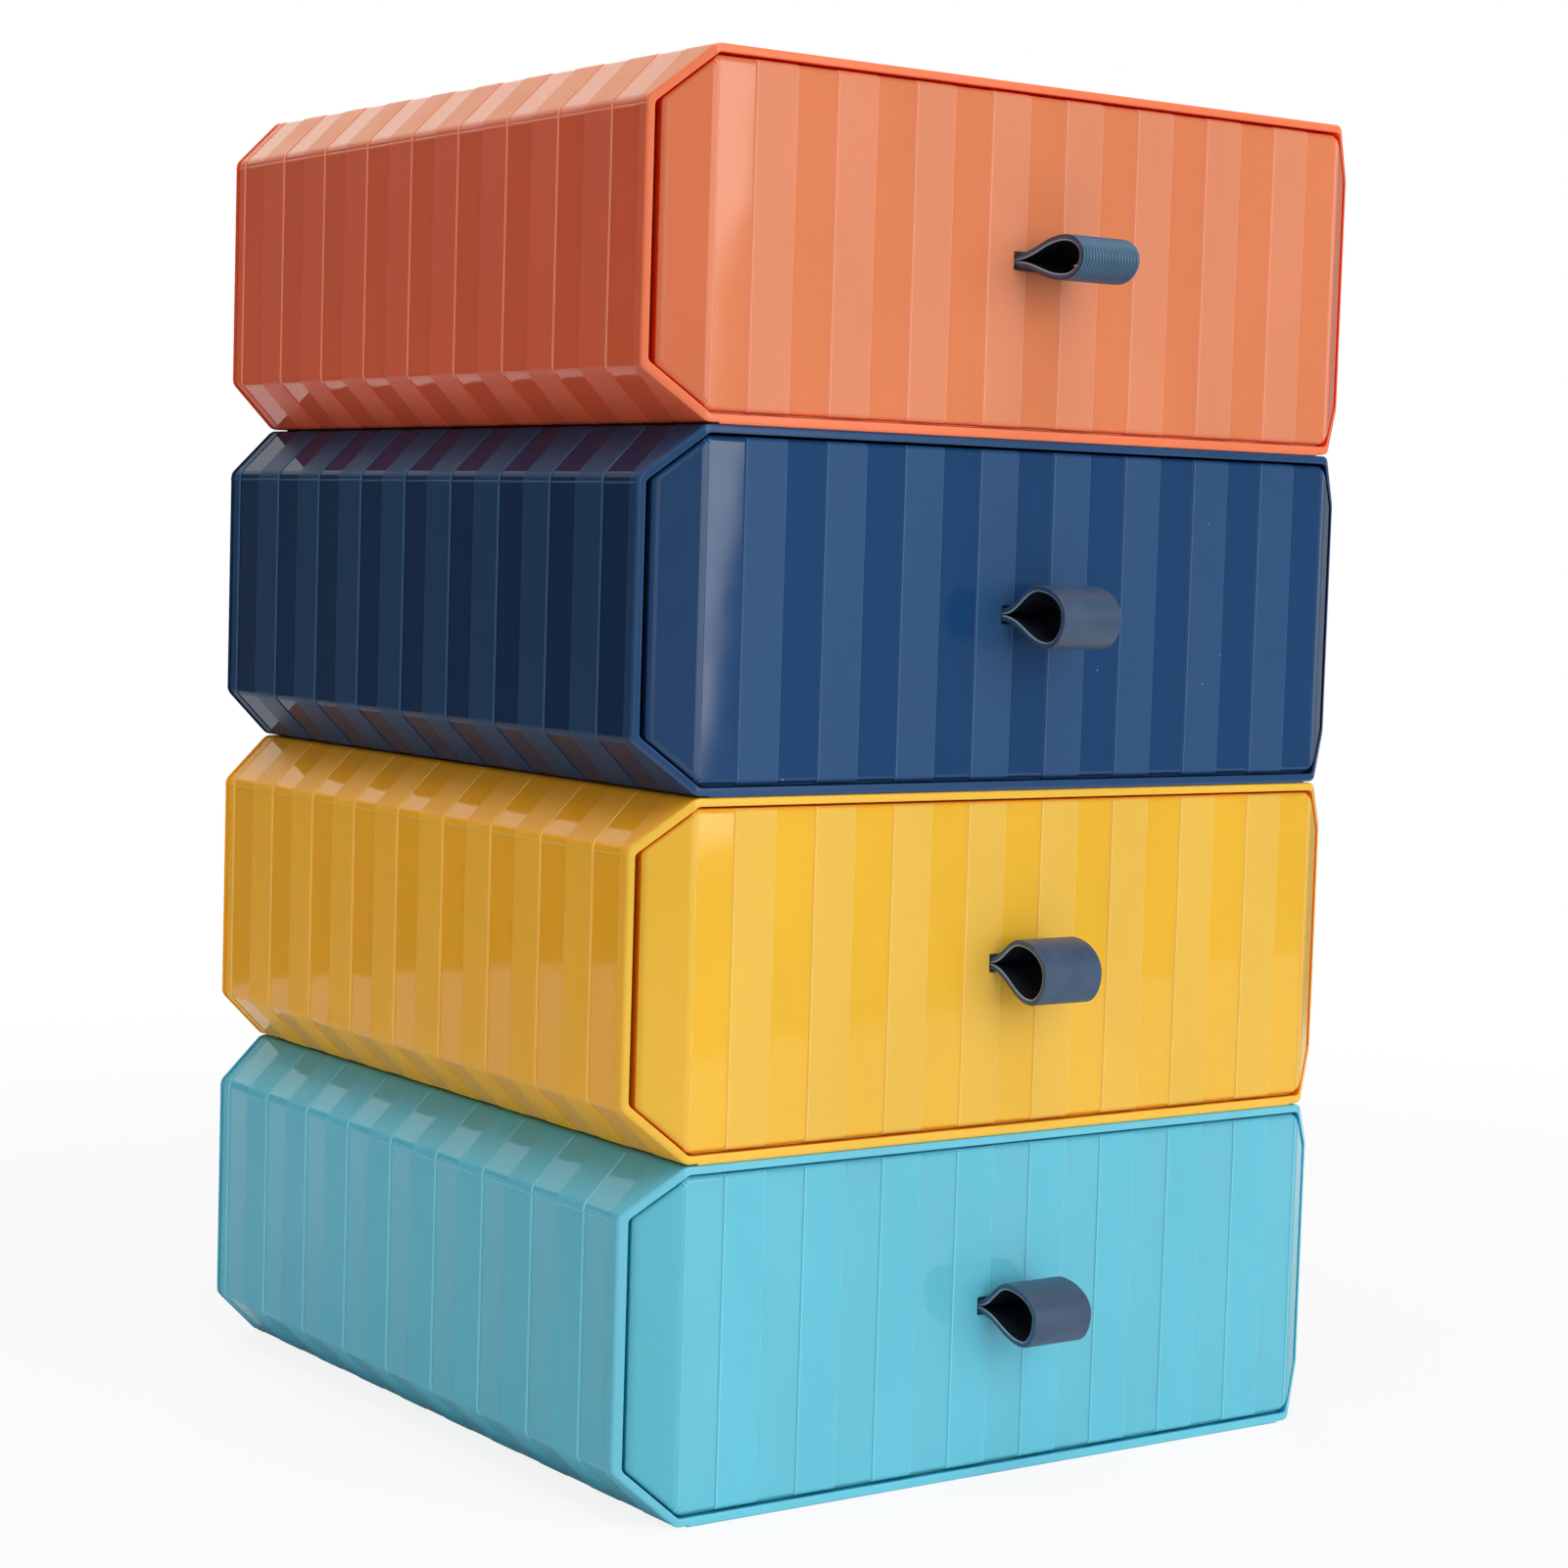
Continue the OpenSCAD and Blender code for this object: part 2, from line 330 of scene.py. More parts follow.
class Mould:
    """Gathers the faces of one piece and turns them into a mesh object on its CAD body."""

    def __init__(self, rise: float) -> None:
        """Starts an empty piece.

        Args:
            rise: Height of the piece's module over the floor.
        """
        self.rise = rise
        self.bm = bmesh.new()

    def points(self, loop: Sequence[Vector]) -> list[Vert]:
        """Vertices for a loop of points."""
        return [self.bm.verts.new((p.x * MM, p.y * MM, (p.z + self.rise) * MM)) for p in loop]

    def face(self, verts: Sequence[Vert], finish: Enum = Sheen.SATIN) -> None:
        """One face, left out where it has no area to span."""
        unique = list(dict.fromkeys(verts))
        if len(unique) > 2:
            self.bm.faces.new(unique).material_index = finish.value

    def bridge(
        self, first: Sequence[Vert], second: Sequence[Vert], finish: Callable[[int], Enum] | None = None
    ) -> None:
        """Faces between two closed loops of the same length.

        Args:
            first: One loop.
            second: The other loop.
            finish: Finish of the face that starts at a given place on the loop.
        """
        count = len(first)
        for i in range(count):
            k = (i + 1) % count
            kind = finish(i) if finish else Sheen.SATIN
            self.face([first[i], first[k], second[k], second[i]], kind)

    def loft(
        self, loops: Sequence[Loop], finish: Callable[[int, int], Enum] | None = None
    ) -> list[list[Vert]]:
        """Skin over a row of closed loops.

        Args:
            loops: Loops of the same length.
            finish: Finish by the number of the loop and the place on it.

        Returns:
            The vertices of each loop.
        """
        rows = [self.points(loop) for loop in loops]
        for k, (first, second) in enumerate(zip(rows, rows[1:])):
            self.bridge(first, second, (lambda i, k=k: finish(k, i)) if finish else None)
        return rows

    def solid(
        self, loops: Sequence[Loop], finish: Callable[[int, int], Enum] | None = None
    ) -> None:
        """Skin over a row of closed loops, with a face over the first and the last one."""
        rows = self.loft(loops, finish)
        self.face(rows[0])
        self.face(rows[-1])

    def finished(self, name: str, materials: Sequence[Material]) -> Object:
        """Closes the mesh and makes the object, with shading that keeps flats flat.

        Args:
            name: Name of the piece.
            materials: Its materials, in the order of their slots.

        Returns:
            The new object in the scene.
        """
        bmesh.ops.remove_doubles(self.bm, verts=self.bm.verts, dist=MERGE_DISTANCE)
        bmesh.ops.recalc_face_normals(self.bm, faces=self.bm.faces)
        mesh = bpy.data.meshes.new(name)
        self.bm.to_mesh(mesh)
        self.bm.free()
        mesh.polygons.foreach_set("use_smooth", [True] * len(mesh.polygons))
        for material in materials:
            mesh.materials.append(material)
        piece = bpy.data.objects.new(name, mesh)
        bpy.context.scene.collection.objects.link(piece)
        normals = piece.modifiers.new("flat faces", "WEIGHTED_NORMAL")
        normals.mode = "FACE_AREA"
        normals.weight = AREA_WEIGHT
        normals.keep_sharp = True
        return piece


# --------------------------------------------------------------------------------------------------
# Finishes


def linear(code: str) -> Colour:
    """Linear colour of a hexadecimal screen colour."""
    # The numbers are those of the standard curve of screen colours.
    values = [int(code[i : i + 2], 16) / 255 for i in (1, 3, 5)]
    red, green, blue = (v / 12.92 if v <= 0.04045 else ((v + 0.055) / 1.055) ** 2.4 for v in values)
    return red, green, blue, 1.0


class NodeBoard:
    """Short calls for wiring the nodes of a material or of the surroundings."""

    def __init__(
        self, owner: Material | bpy.types.World, shader: str = "Principled BSDF"
    ) -> None:
        """Starts on the owner's own nodes.

        Args:
            owner: The material or the world.
            shader: Name of the shader that the owner starts with.
        """
        owner.use_nodes = True
        self.tree = owner.node_tree
        self.shader = self.tree.nodes[shader]
        self.coordinates = self.add("ShaderNodeTexCoord").outputs
        self.place = self.coordinates["Object"]

    def add(self, kind: str, **settings: object) -> bpy.types.Node:
        """New node.

        Args:
            kind: Type of the node.
            settings: Its settings, and the values on those sockets that have the same name.

        Returns:
            The node.
        """
        node = self.tree.nodes.new(kind)
        for key, value in settings.items():
            if key in node.inputs:
                node.inputs[key].default_value = value
            else:
                setattr(node, key, value)
        return node

    def link(self, source: Socket, target: Socket) -> None:
        """Joins two sockets."""
        self.tree.links.new(source, target)

    def fill(self, target: Socket, value: Socket | float | Colour) -> None:
        """Joins a socket to a target, or sets a number or a colour on it."""
        if isinstance(value, Socket):
            self.link(value, target)
        else:
            target.default_value = value

    def dress(self, values: dict[str, Socket | float | Colour | list[float]]) -> None:
        """Fills sockets of the shader by their names."""
        for key, value in values.items():
            self.fill(self.shader.inputs[key], value)

    def compute(self, operation: str, first: Socket, second: Socket | float) -> Socket:
        """Result of one operation on a socket and a second socket or a number."""
        node = self.add("ShaderNodeMath", operation=operation)
        self.link(first, node.inputs[0])
        self.fill(node.inputs[1], second)
        return node.outputs[0]

    def split(self, source: Socket, axis: str) -> Socket:
        """One axis of a vector."""
        node = self.add("ShaderNodeSeparateXYZ")
        self.link(source, node.inputs[0])
        return node.outputs[axis]

    def noise(
        self, size_mm: float, detail: float = 2.0, stretch: Sequence[float] | None = None
    ) -> Socket:
        """Noise on the piece.

        Args:
            size_mm: About how far its features reach.
            detail: Number of finer layers.
            stretch: How far the features are drawn out along each axis.

        Returns:
            The noise, from 0 to 1.
        """
        node = self.add("ShaderNodeTexNoise", Scale=1 / (size_mm * MM), Detail=detail)
        place = self.place
        if stretch:
            mapping = self.add("ShaderNodeMapping", Scale=[1 / s for s in stretch])
            self.link(place, mapping.inputs["Vector"])
            place = mapping.outputs["Vector"]
        self.link(place, node.inputs["Vector"])
        return node.outputs["Fac"]

    def spread(
        self, source: Socket, low: float, high: float, start: float = 0.3, end: float = 0.7
    ) -> Socket:
        """Takes a range of the source, or else the middle range of a noise, to another range.

        Args:
            source: The number that is taken over.
            low: Result at the range's start.
            high: Result at the range's end.
            start: Start of the source's range.
            end: End of the source's range.

        Returns:
            The number in its new range.
        """
        limits = {"From Min": start, "From Max": end, "To Min": low, "To Max": high}
        node = self.add("ShaderNodeMapRange", **limits)
        self.link(source, node.inputs["Value"])
        return node.outputs["Result"]

    def ease(self, source: Socket, start: float, end: float) -> Socket:
        """Share that eases from 0 to 1 while the source goes from start to end."""
        share = self.spread(source, 0.0, 1.0, start, end)
        share.node.interpolation_type = "SMOOTHSTEP"
        return share

    def mix(self, share: Socket, first: Socket | Colour, second: Socket | Colour) -> Socket:
        """Colour between two colours or sockets by a share."""
        node = self.add("ShaderNodeMix", data_type="RGBA")
        self.link(share, node.inputs["Factor"])
        for value, key in ((first, "A"), (second, "B")):
            self.fill(next(s for s in node.inputs if s.name == key and s.type == "RGBA"), value)
        return next(s for s in node.outputs if s.type == "RGBA")

    def bump(self, height: Socket, depth_mm: float, under: Socket | None = None) -> Socket:
        """Relief of the given depth, laid over another relief if one is given."""
        node = self.add("ShaderNodeBump", Distance=depth_mm * MM, Strength=1.0)
        self.link(height, node.inputs["Height"])
        if under is not None:
            self.link(under, node.inputs["Normal"])
        return node.outputs["Normal"]


@dataclass(frozen=True)
class MouldedPlastic:
    """Injection-moulded plastic: pigment with faint clouds, a grained or polished skin, a little dust, and
    where given a colour painted on faces that look up, as painted light and shade.
    """

    name: str
    colour: str
    roughness: float = 0.4
    roughness_spread: float = 0.05
    grain_mm: float = 0.4
    grain_depth_mm: float = 0.003
    cloud: float = 0.035
    cloud_mm: float = 26.0
    cloud_stretch: tuple[float, float, float] = (1, 1, 2.5)
    patch_mm: float = 9.0
    dust: float = 0.0
    dust_colour: str = "#e9e2dc"
    dust_cell_mm: float = 2.6
    dust_reach: float = 0.05
    wave_mm: float = 30.0
    wave_depth_mm: float = 0.0
    glow: float = 0.05
    glow_depth_mm: float = 1.5
    glow_floor: float = 0.15
    shine: float = 0.3
    refraction: float = 1.49
    twist: float = 0.0
    twist_height: float = 0.0
    # Colour painted on faces that look up, blended in as the normal rises over the range below: painted
    # light and shade.
    faded: str = ""
    faded_rise: tuple[float, float] = (0.1, 0.6)

    def shade(self, factor: float) -> Colour:
        """The pigment's colour made lighter or darker."""
        red, green, blue = (min(channel * factor, 1.0) for channel in linear(self.colour)[:3])
        return red, green, blue, 1.0

    def twisted(self, board: NodeBoard) -> Socket | None:
        """Slight twist that the moulding took while it cooled.

        Args:
            board: Nodes of the material.

        Returns:
            The turned normal, if there is a twist.
        """
        if not self.twist:
            return None
        rise = board.compute("SUBTRACT", board.split(board.place, "Z"), self.twist_height * MM)
        lift = board.compute("MULTIPLY", board.split(board.place, "X"), rise)
        return board.bump(board.compute("MULTIPLY", lift, self.twist), 1 / MM)

    def dusty(self, board: NodeBoard, pigment: Socket) -> Socket:
        """Pigment with a few pale specks, each in its own cell.

        Args:
            board: Nodes of the material.
            pigment: Colour of the clean plastic.

        Returns:
            The colour with its specks.
        """
        cells = board.add("ShaderNodeTexVoronoi", Scale=1 / (self.dust_cell_mm * MM))
        board.link(board.place, cells.inputs["Vector"])
        near = board.compute("LESS_THAN", cells.outputs["Distance"], self.dust_reach)
        channels = board.add("ShaderNodeSeparateColor")
        board.link(cells.outputs["Color"], channels.inputs["Color"])
        rare = board.compute("LESS_THAN", channels.outputs["Red"], self.dust)
        return board.mix(board.compute("MULTIPLY", near, rare), pigment, linear(self.dust_colour))

    def material(self) -> Material:
        """Builds the material."""
        material = bpy.data.materials.new(self.name)
        board = NodeBoard(material)
        clouds = board.spread(board.noise(self.cloud_mm, CLOUD_DETAIL, self.cloud_stretch), 0.0, 1.0)
        pigment = board.mix(clouds, self.shade(1 - self.cloud), self.shade(1 + self.cloud))
        # Painted light and shade: faces that look up blend into their own colour.
        if self.faded:
            facing = board.split(board.add("ShaderNodeNewGeometry").outputs["Normal"], "Z")
            pigment = board.mix(board.ease(facing, *self.faded_rise), pigment, linear(self.faded))
        if self.dust:
            pigment = self.dusty(board, pigment)
        wave = board.bump(board.noise(self.wave_mm, WAVE_DETAIL), self.wave_depth_mm, self.twisted(board))
        smooth, rough = self.roughness - self.roughness_spread, self.roughness + self.roughness_spread
        channels = linear(self.colour)[:3]
        board.dress({
            "Base Color": pigment,
            "Roughness": board.spread(board.noise(self.patch_mm, CLOUD_DETAIL), smooth, rough),
            "Normal": board.bump(board.noise(self.grain_mm, GRAIN_DETAIL), self.grain_depth_mm, wave),
            "IOR": self.refraction,
            "Specular IOR Level": self.shine,
            "Subsurface Weight": self.glow,
            "Subsurface Scale": self.glow_depth_mm * MM,
            "Subsurface Radius": [
                self.glow_floor + (1 - self.glow_floor) * channel / max(channels) for channel in channels
            ],
        })
        return material


@dataclass(frozen=True)
class PullRubber:
    """Soft rubber of the pulls: matt, with a fine skin and faint paler clouds."""

    name: str
    colour: str
    pale: str
    roughness: float = 0.42
    roughness_spread: float = 0.05
    shine: float = 0.5
    refraction: float = 1.5
    cloud_mm: float = 5.0
    patch_mm: float = 2.4
    grain_mm: float = 0.12
    grain_depth_mm: float = 0.005

    def material(self) -> Material:
        """Builds the material."""
        material = bpy.data.materials.new(self.name)
        board = NodeBoard(material)
        clouds = board.spread(board.noise(self.cloud_mm, GRAIN_DETAIL), 0.0, 1.0)
        smooth, rough = self.roughness - self.roughness_spread, self.roughness + self.roughness_spread
        board.dress({
            "Base Color": board.mix(clouds, linear(self.colour), linear(self.pale)),
            "Roughness": board.spread(board.noise(self.patch_mm, GRAIN_DETAIL), smooth, rough),
            "Normal": board.bump(board.noise(self.grain_mm), self.grain_depth_mm),
            "IOR": self.refraction,
            "Specular IOR Level": self.shine,
        })
        return material


@dataclass(frozen=True)
class Paint:
    """Colours of one moulding, one for each finish, and how its finishes differ from the usual. The satin
    colour is mostly a little paler than the gloss colour as painted sheen; the edge, gap and crest
    colours, and on the drawer the step colour, are painted light and shade.
    """

    satin: str
    gloss: str
    # Painted light on the casing's lip and seam; painted shade on the drawer's bent ends.
    edge: str
    # Painted shade: deep saturated colour inside the gaps.
    gap: str
    # On the drawer, painted shade on the strip walls, set lighter or darker than the satin to tune the
    # line of shade.
    step: str
    # Painted highlight on the crests of the steps.
    crest: str
    # Painted light and shade on faces that look up.
    faded: str = ""
    gap_depth_mm: float = 6.0
    satin_shine: float = 0.3
    gloss_shine: float = 0.45
    dust: float = 0.0
    twist: float = 0.0

    def materials(self, name: str, middle: float) -> list[Material]:
        """The moulding's finishes.

        Args:
            name: Name of the moulding.
            middle: Height of its middle.

        Returns:
            Materials in the order of Sheen.
        """
        finishes = [
            MouldedPlastic(
                f"{name}_satin", self.satin, roughness=0.42, grain_mm=0.16, grain_depth_mm=0.012,
                wave_depth_mm=0.04, glow=0.3, shine=self.satin_shine, dust=self.dust, faded=self.faded,
            ),
            MouldedPlastic(
                f"{name}_gloss", self.gloss, roughness=0.045, roughness_spread=0.015, grain_mm=0.5,
                grain_depth_mm=0.0004, wave_depth_mm=0.1, glow=0.3, shine=self.gloss_shine,
                dust=self.dust, faded=self.faded, twist=self.twist, twist_height=middle,
            ),
            # Painted light on the casing's lip and seam, painted shade on the drawer's bent ends.
            MouldedPlastic(
                f"{name}_edge", self.edge, roughness=0.24, roughness_spread=0.02, grain_depth_mm=0.002,
                shine=0.5,
            ),
            # Painted shade inside the gaps, with the plastic's glow set deep.
            MouldedPlastic(
                f"{name}_gap", self.gap, wave_depth_mm=0.1, glow=1.0, glow_depth_mm=self.gap_depth_mm,
                glow_floor=0.05, shine=0.1,
            ),
            # On the drawer, painted shade on the strip walls.
            MouldedPlastic(f"{name}_step", self.step),
            # Painted highlight on the crests of the steps.
            MouldedPlastic(
                f"{name}_crest", self.crest, roughness=0.35, grain_depth_mm=0.002, shine=0.4
            ),
        ]
        return [finish.material() for finish in finishes]


# --------------------------------------------------------------------------------------------------
# Pieces


@dataclass(frozen=True)
class ModuleSizes:
    """Sizes that the pieces of a module share."""

    half: float = 90.0
    front: float = -90.0
    back: float = 90.0
    height: float = 70.0
    chamfer: float = 10.0
    fold: float = 2.5
    bend: FrontBend = FrontBend(80.0, 0.8, 2.0)
    wall: float = 1.5
    base_rise: float = 0.3


@dataclass
class Casing:
    """Sleeve with a closed back, a bent front lip and sunk bands across its sides."""

    level: Level
    sizes: ModuleSizes = ModuleSizes()
    sunk_bands: int = 9
    band_step: float = 0.35
    collar: float = 2.8
    rear_collar: float = 4.9
    band_edge: StepEdge = StepEdge(0.35, 0.08, 0.07)
    round_steps: int = 4
    lip_round: float = 0.5
    lip_depth: float = 4.0
    lip_wall: float = 1.5
    lip_bead: float = 0.14
    inner_round: float = 0.25
    back_round: float = 0.9
    floor_round: float = 1.0
    base_inset: float = 3.0
    slope_share: float = 0.5
    seam_below_fold: float = 1.35
    seam_rise: float = 0.12
    seam_half: float = 0.2
    seam_least: float = 0.02
    stop_half: float = 18.0
    stop_front: float = -50.6
    stop_back: float = -48.6
    stop_drop: float = 1.0
    slant: float = 0.15

    @property
    def base_half(self) -> float:
        """Half width of the flat field that the module stands on."""
        return self.sizes.half - self.sizes.chamfer - self.base_inset

    def outer(self) -> Section:
        """Outside of the sleeve at a raised band."""
        s = self.sizes
        return Section(s.half - self.seam_rise, s.base_rise, s.height, s.chamfer, s.fold)

    def inner(self) -> Section:
        """Inside of the sleeve."""
        s = self.sizes
        chamfer = s.chamfer - 2 * s.wall + s.wall * math.sqrt(2)
        low, high = s.base_rise + s.wall, s.height - s.wall
        return Section(s.half - s.wall, low, high, chamfer, s.fold - s.wall / 2)

    def marks(self, section: Section) -> Loop:
        """Outline with the extra points of the base field, the mould seam and the stop.

        Args:
            section: Section of the sleeve, outside or inside.

        Returns:
            Points as (x, z).
        """
        seam = self.sizes.height - self.sizes.chamfer - self.seam_below_fold
        least = self.seam_least
        limit = section.high - section.chamfer - section.reach() - least
        return section.ring(
            [self.base_half, self.base_half + self.slant],
            [min(seam + k * self.seam_half, limit + (k - 1) * least) for k in (-1, 0, 1)],
            [self.stop_half + self.slant, self.stop_half],
        )

    def outside_loop(self, y: float, bent: float, sunk: float, inset: float = 0.0) -> Loop:
        """One loop of the outside.

        Args:
            y: Place of the loop's flat parts.
            bent: Share of the front's bend that the loop follows.
            sunk: Share of the step down to a sunk band.
            inset: Inset of the whole loop, for rounded ends.

        Returns:
            Points of the loop.
        """
        s = self.sizes
        step = self.band_step * sunk
        ring = self.marks(self.outer().inset(step + inset, inset, step * self.slope_share + inset))
        on_field = s.front + self.base_inset - TINY <= y <= s.back - self.base_inset + TINY
        crest = SEAM + 1
        loop = []
        for i, p in enumerate(ring):
            x, z = p
            if on_field and abs(x) <= self.base_half + TINY and z < s.height / 2:
                z -= s.base_rise
            if i in (crest, len(ring) - 1 - crest):
                x += math.copysign(self.seam_rise, x)
            loop.append(Vector((x, y + bent * s.bend.setback(p.x), z)))
        return loop

    def inside_loop(
        self, y: float, bent: float, inset: float = 0.0, side: float = 0.0, rest: float = 0.0
    ) -> Loop:
        """One loop of the inside, which drops at the stop.

        Args:
            y: Place of the loop's flat parts.
            bent: Share of the front's bend that the loop follows.
            inset: Inset of the whole loop.
            side: Further inset of the sides.
            rest: Further inset of the flats and the slopes.

        Returns:
            Points of the loop.
        """
        at_stop = self.stop_front <= y <= self.stop_back
        loop = []
        for x, z in self.marks(self.inner().inset(inset + side, inset + rest, inset + rest)):
            if at_stop and abs(x) <= self.stop_half + TINY and z > self.sizes.height / 2:
                z -= self.stop_drop
            loop.append(Vector((x, y + bent * self.sizes.bend.setback(x), z)))
        return loop

    def lip_loops(self) -> list[Loop]:
        """Loops from the outside round the front lip to the inside."""
        s = self.sizes
        outside = self.outside_loop(0.0, 0.0, 0.0)
        inside = self.inside_loop(0.0, 0.0, side=self.lip_wall - s.wall, rest=self.lip_bead)
        steps = self.round_steps
        outer = [(d, b) for b, d in quarter_round(self.lip_round, steps)]
        inner = [(self.lip_wall - d, b) for b, d in reversed(quarter_round(self.inner_round, steps))]
        loops = []
        for depth, behind in outer + inner:
            share = depth / self.lip_wall
            loop = []
            for a, b in zip(outside, inside):
                x = a.x + (b.x - a.x) * share
                y = s.front + behind + s.bend.setback(x)
                loop.append(Vector((x, y, a.z + (b.z - a.z) * share)))
            loops.append(loop)
        return loops

    def outside_loops(self) -> tuple[list[Loop], list[float]]:
        """Loops from the back over the bands to the front collar.

        Returns:
            The loops, and the share of the band step at each.
        """
        s = self.sizes
        first = s.front + s.bend.setback(s.half) + self.collar
        width = (s.back - self.rear_collar - first) / (2 * self.sunk_bands - 1)
        loops, sunk = [], []

        def put(y: float, bent: float = 0.0, share: float = 0.0, inset: float = 0.0) -> None:
            """Adds one loop."""
            loops.append(self.outside_loop(y, bent, share, inset))
            sunk.append(share)

        for behind, inset in reversed(quarter_round(self.back_round, self.round_steps)):
            put(s.back - inset, inset=behind)
        base_back = s.back - self.base_inset
        put(base_back + self.slant)
        put(base_back)
        for band in reversed(range(self.sunk_bands)):
            rear, fore = first + (2 * band + 1) * width, first + 2 * band * width
            for across, share in self.band_edge.profile():
                put(rear - across, share=share)
            for across, share in reversed(self.band_edge.profile()):
                put(fore + across, share=share)
        start = s.front + self.lip_round
        base_front = s.front + self.base_inset
        for y in (base_front, base_front - self.slant):
            put(y, 1 - (y - start) / (first - start))
        return loops, sunk

    def inside_loops(self) -> list[Loop]:
        """Loops from the lip to the inside of the back."""
        s = self.sizes
        stop = (self.stop_front - self.slant, self.stop_front, self.stop_back, self.stop_back + self.slant)
        floor = s.back - s.wall
        return [
            self.inside_loop(s.front + self.lip_depth, 1.0),
            *(self.inside_loop(y, 0.0) for y in stop),
            *(self.inside_loop(floor - b, 0.0, inset) for b, inset in quarter_round(self.floor_round, 3)),
        ]

    def build(self, materials: Sequence[Material]) -> Object:
        """Builds and dresses the casing.

        Args:
            materials: The module's finishes.

        Returns:
            The casing's object.
        """
        mould = Mould(self.level.value * self.sizes.height)
        outside, sunk = self.outside_loops()
        lip = self.lip_loops()
        loops = outside + lip + self.inside_loops()
        count = len(loops[0])
        lip_start, lip_end = len(sunk), len(sunk) + len(lip) - 1

        def sheen(k: int, i: int) -> Sheen:
            """Finish of the face that starts at place i of loop k and reaches to the next of both."""
            # The lip gets painted light, and the first span inside the mouth painted shade.
            if k >= lip_start:
                if k == lip_end:
                    return Sheen.GAP
                return Sheen.EDGE if k < lip_end else Sheen.SATIN
            side = min(i, count - 2 - i)
            # Painted highlight on the mould seam's ridge.
            if side in (SEAM, SEAM + 1):
                return Sheen.EDGE
            if k == lip_start - 1:
                return Sheen.SATIN
            if k < self.round_steps:
                return Sheen.STEP
            # Painted highlight on the band walls that face the front.
            if sunk[k + 1] > sunk[k] and LOW_FOLD <= side < HEAD:
                return Sheen.CREST
            in_band = min(sunk[k], sunk[k + 1]) > ALL_SUNK
            return Sheen.GLOSS if in_band and FOOT <= side < HEAD_END else Sheen.SATIN

        mould.solid(loops, sheen)
        name = self.level.name.lower()
        casing = mould.finished(f"{name}_casing_sleeve", materials)
        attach(casing, f"{name}_module")
        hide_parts(f"{name}_casing")
        return casing


@dataclass(frozen=True)
class EdgePoint:
    """Point of the front's upper edge: place, outward direction, share of the step to a sunk strip."""

    x: float
    z: float
    across: float
    up: float
    sunk: float


SurfaceOf = Callable[[EdgePoint, float], float]


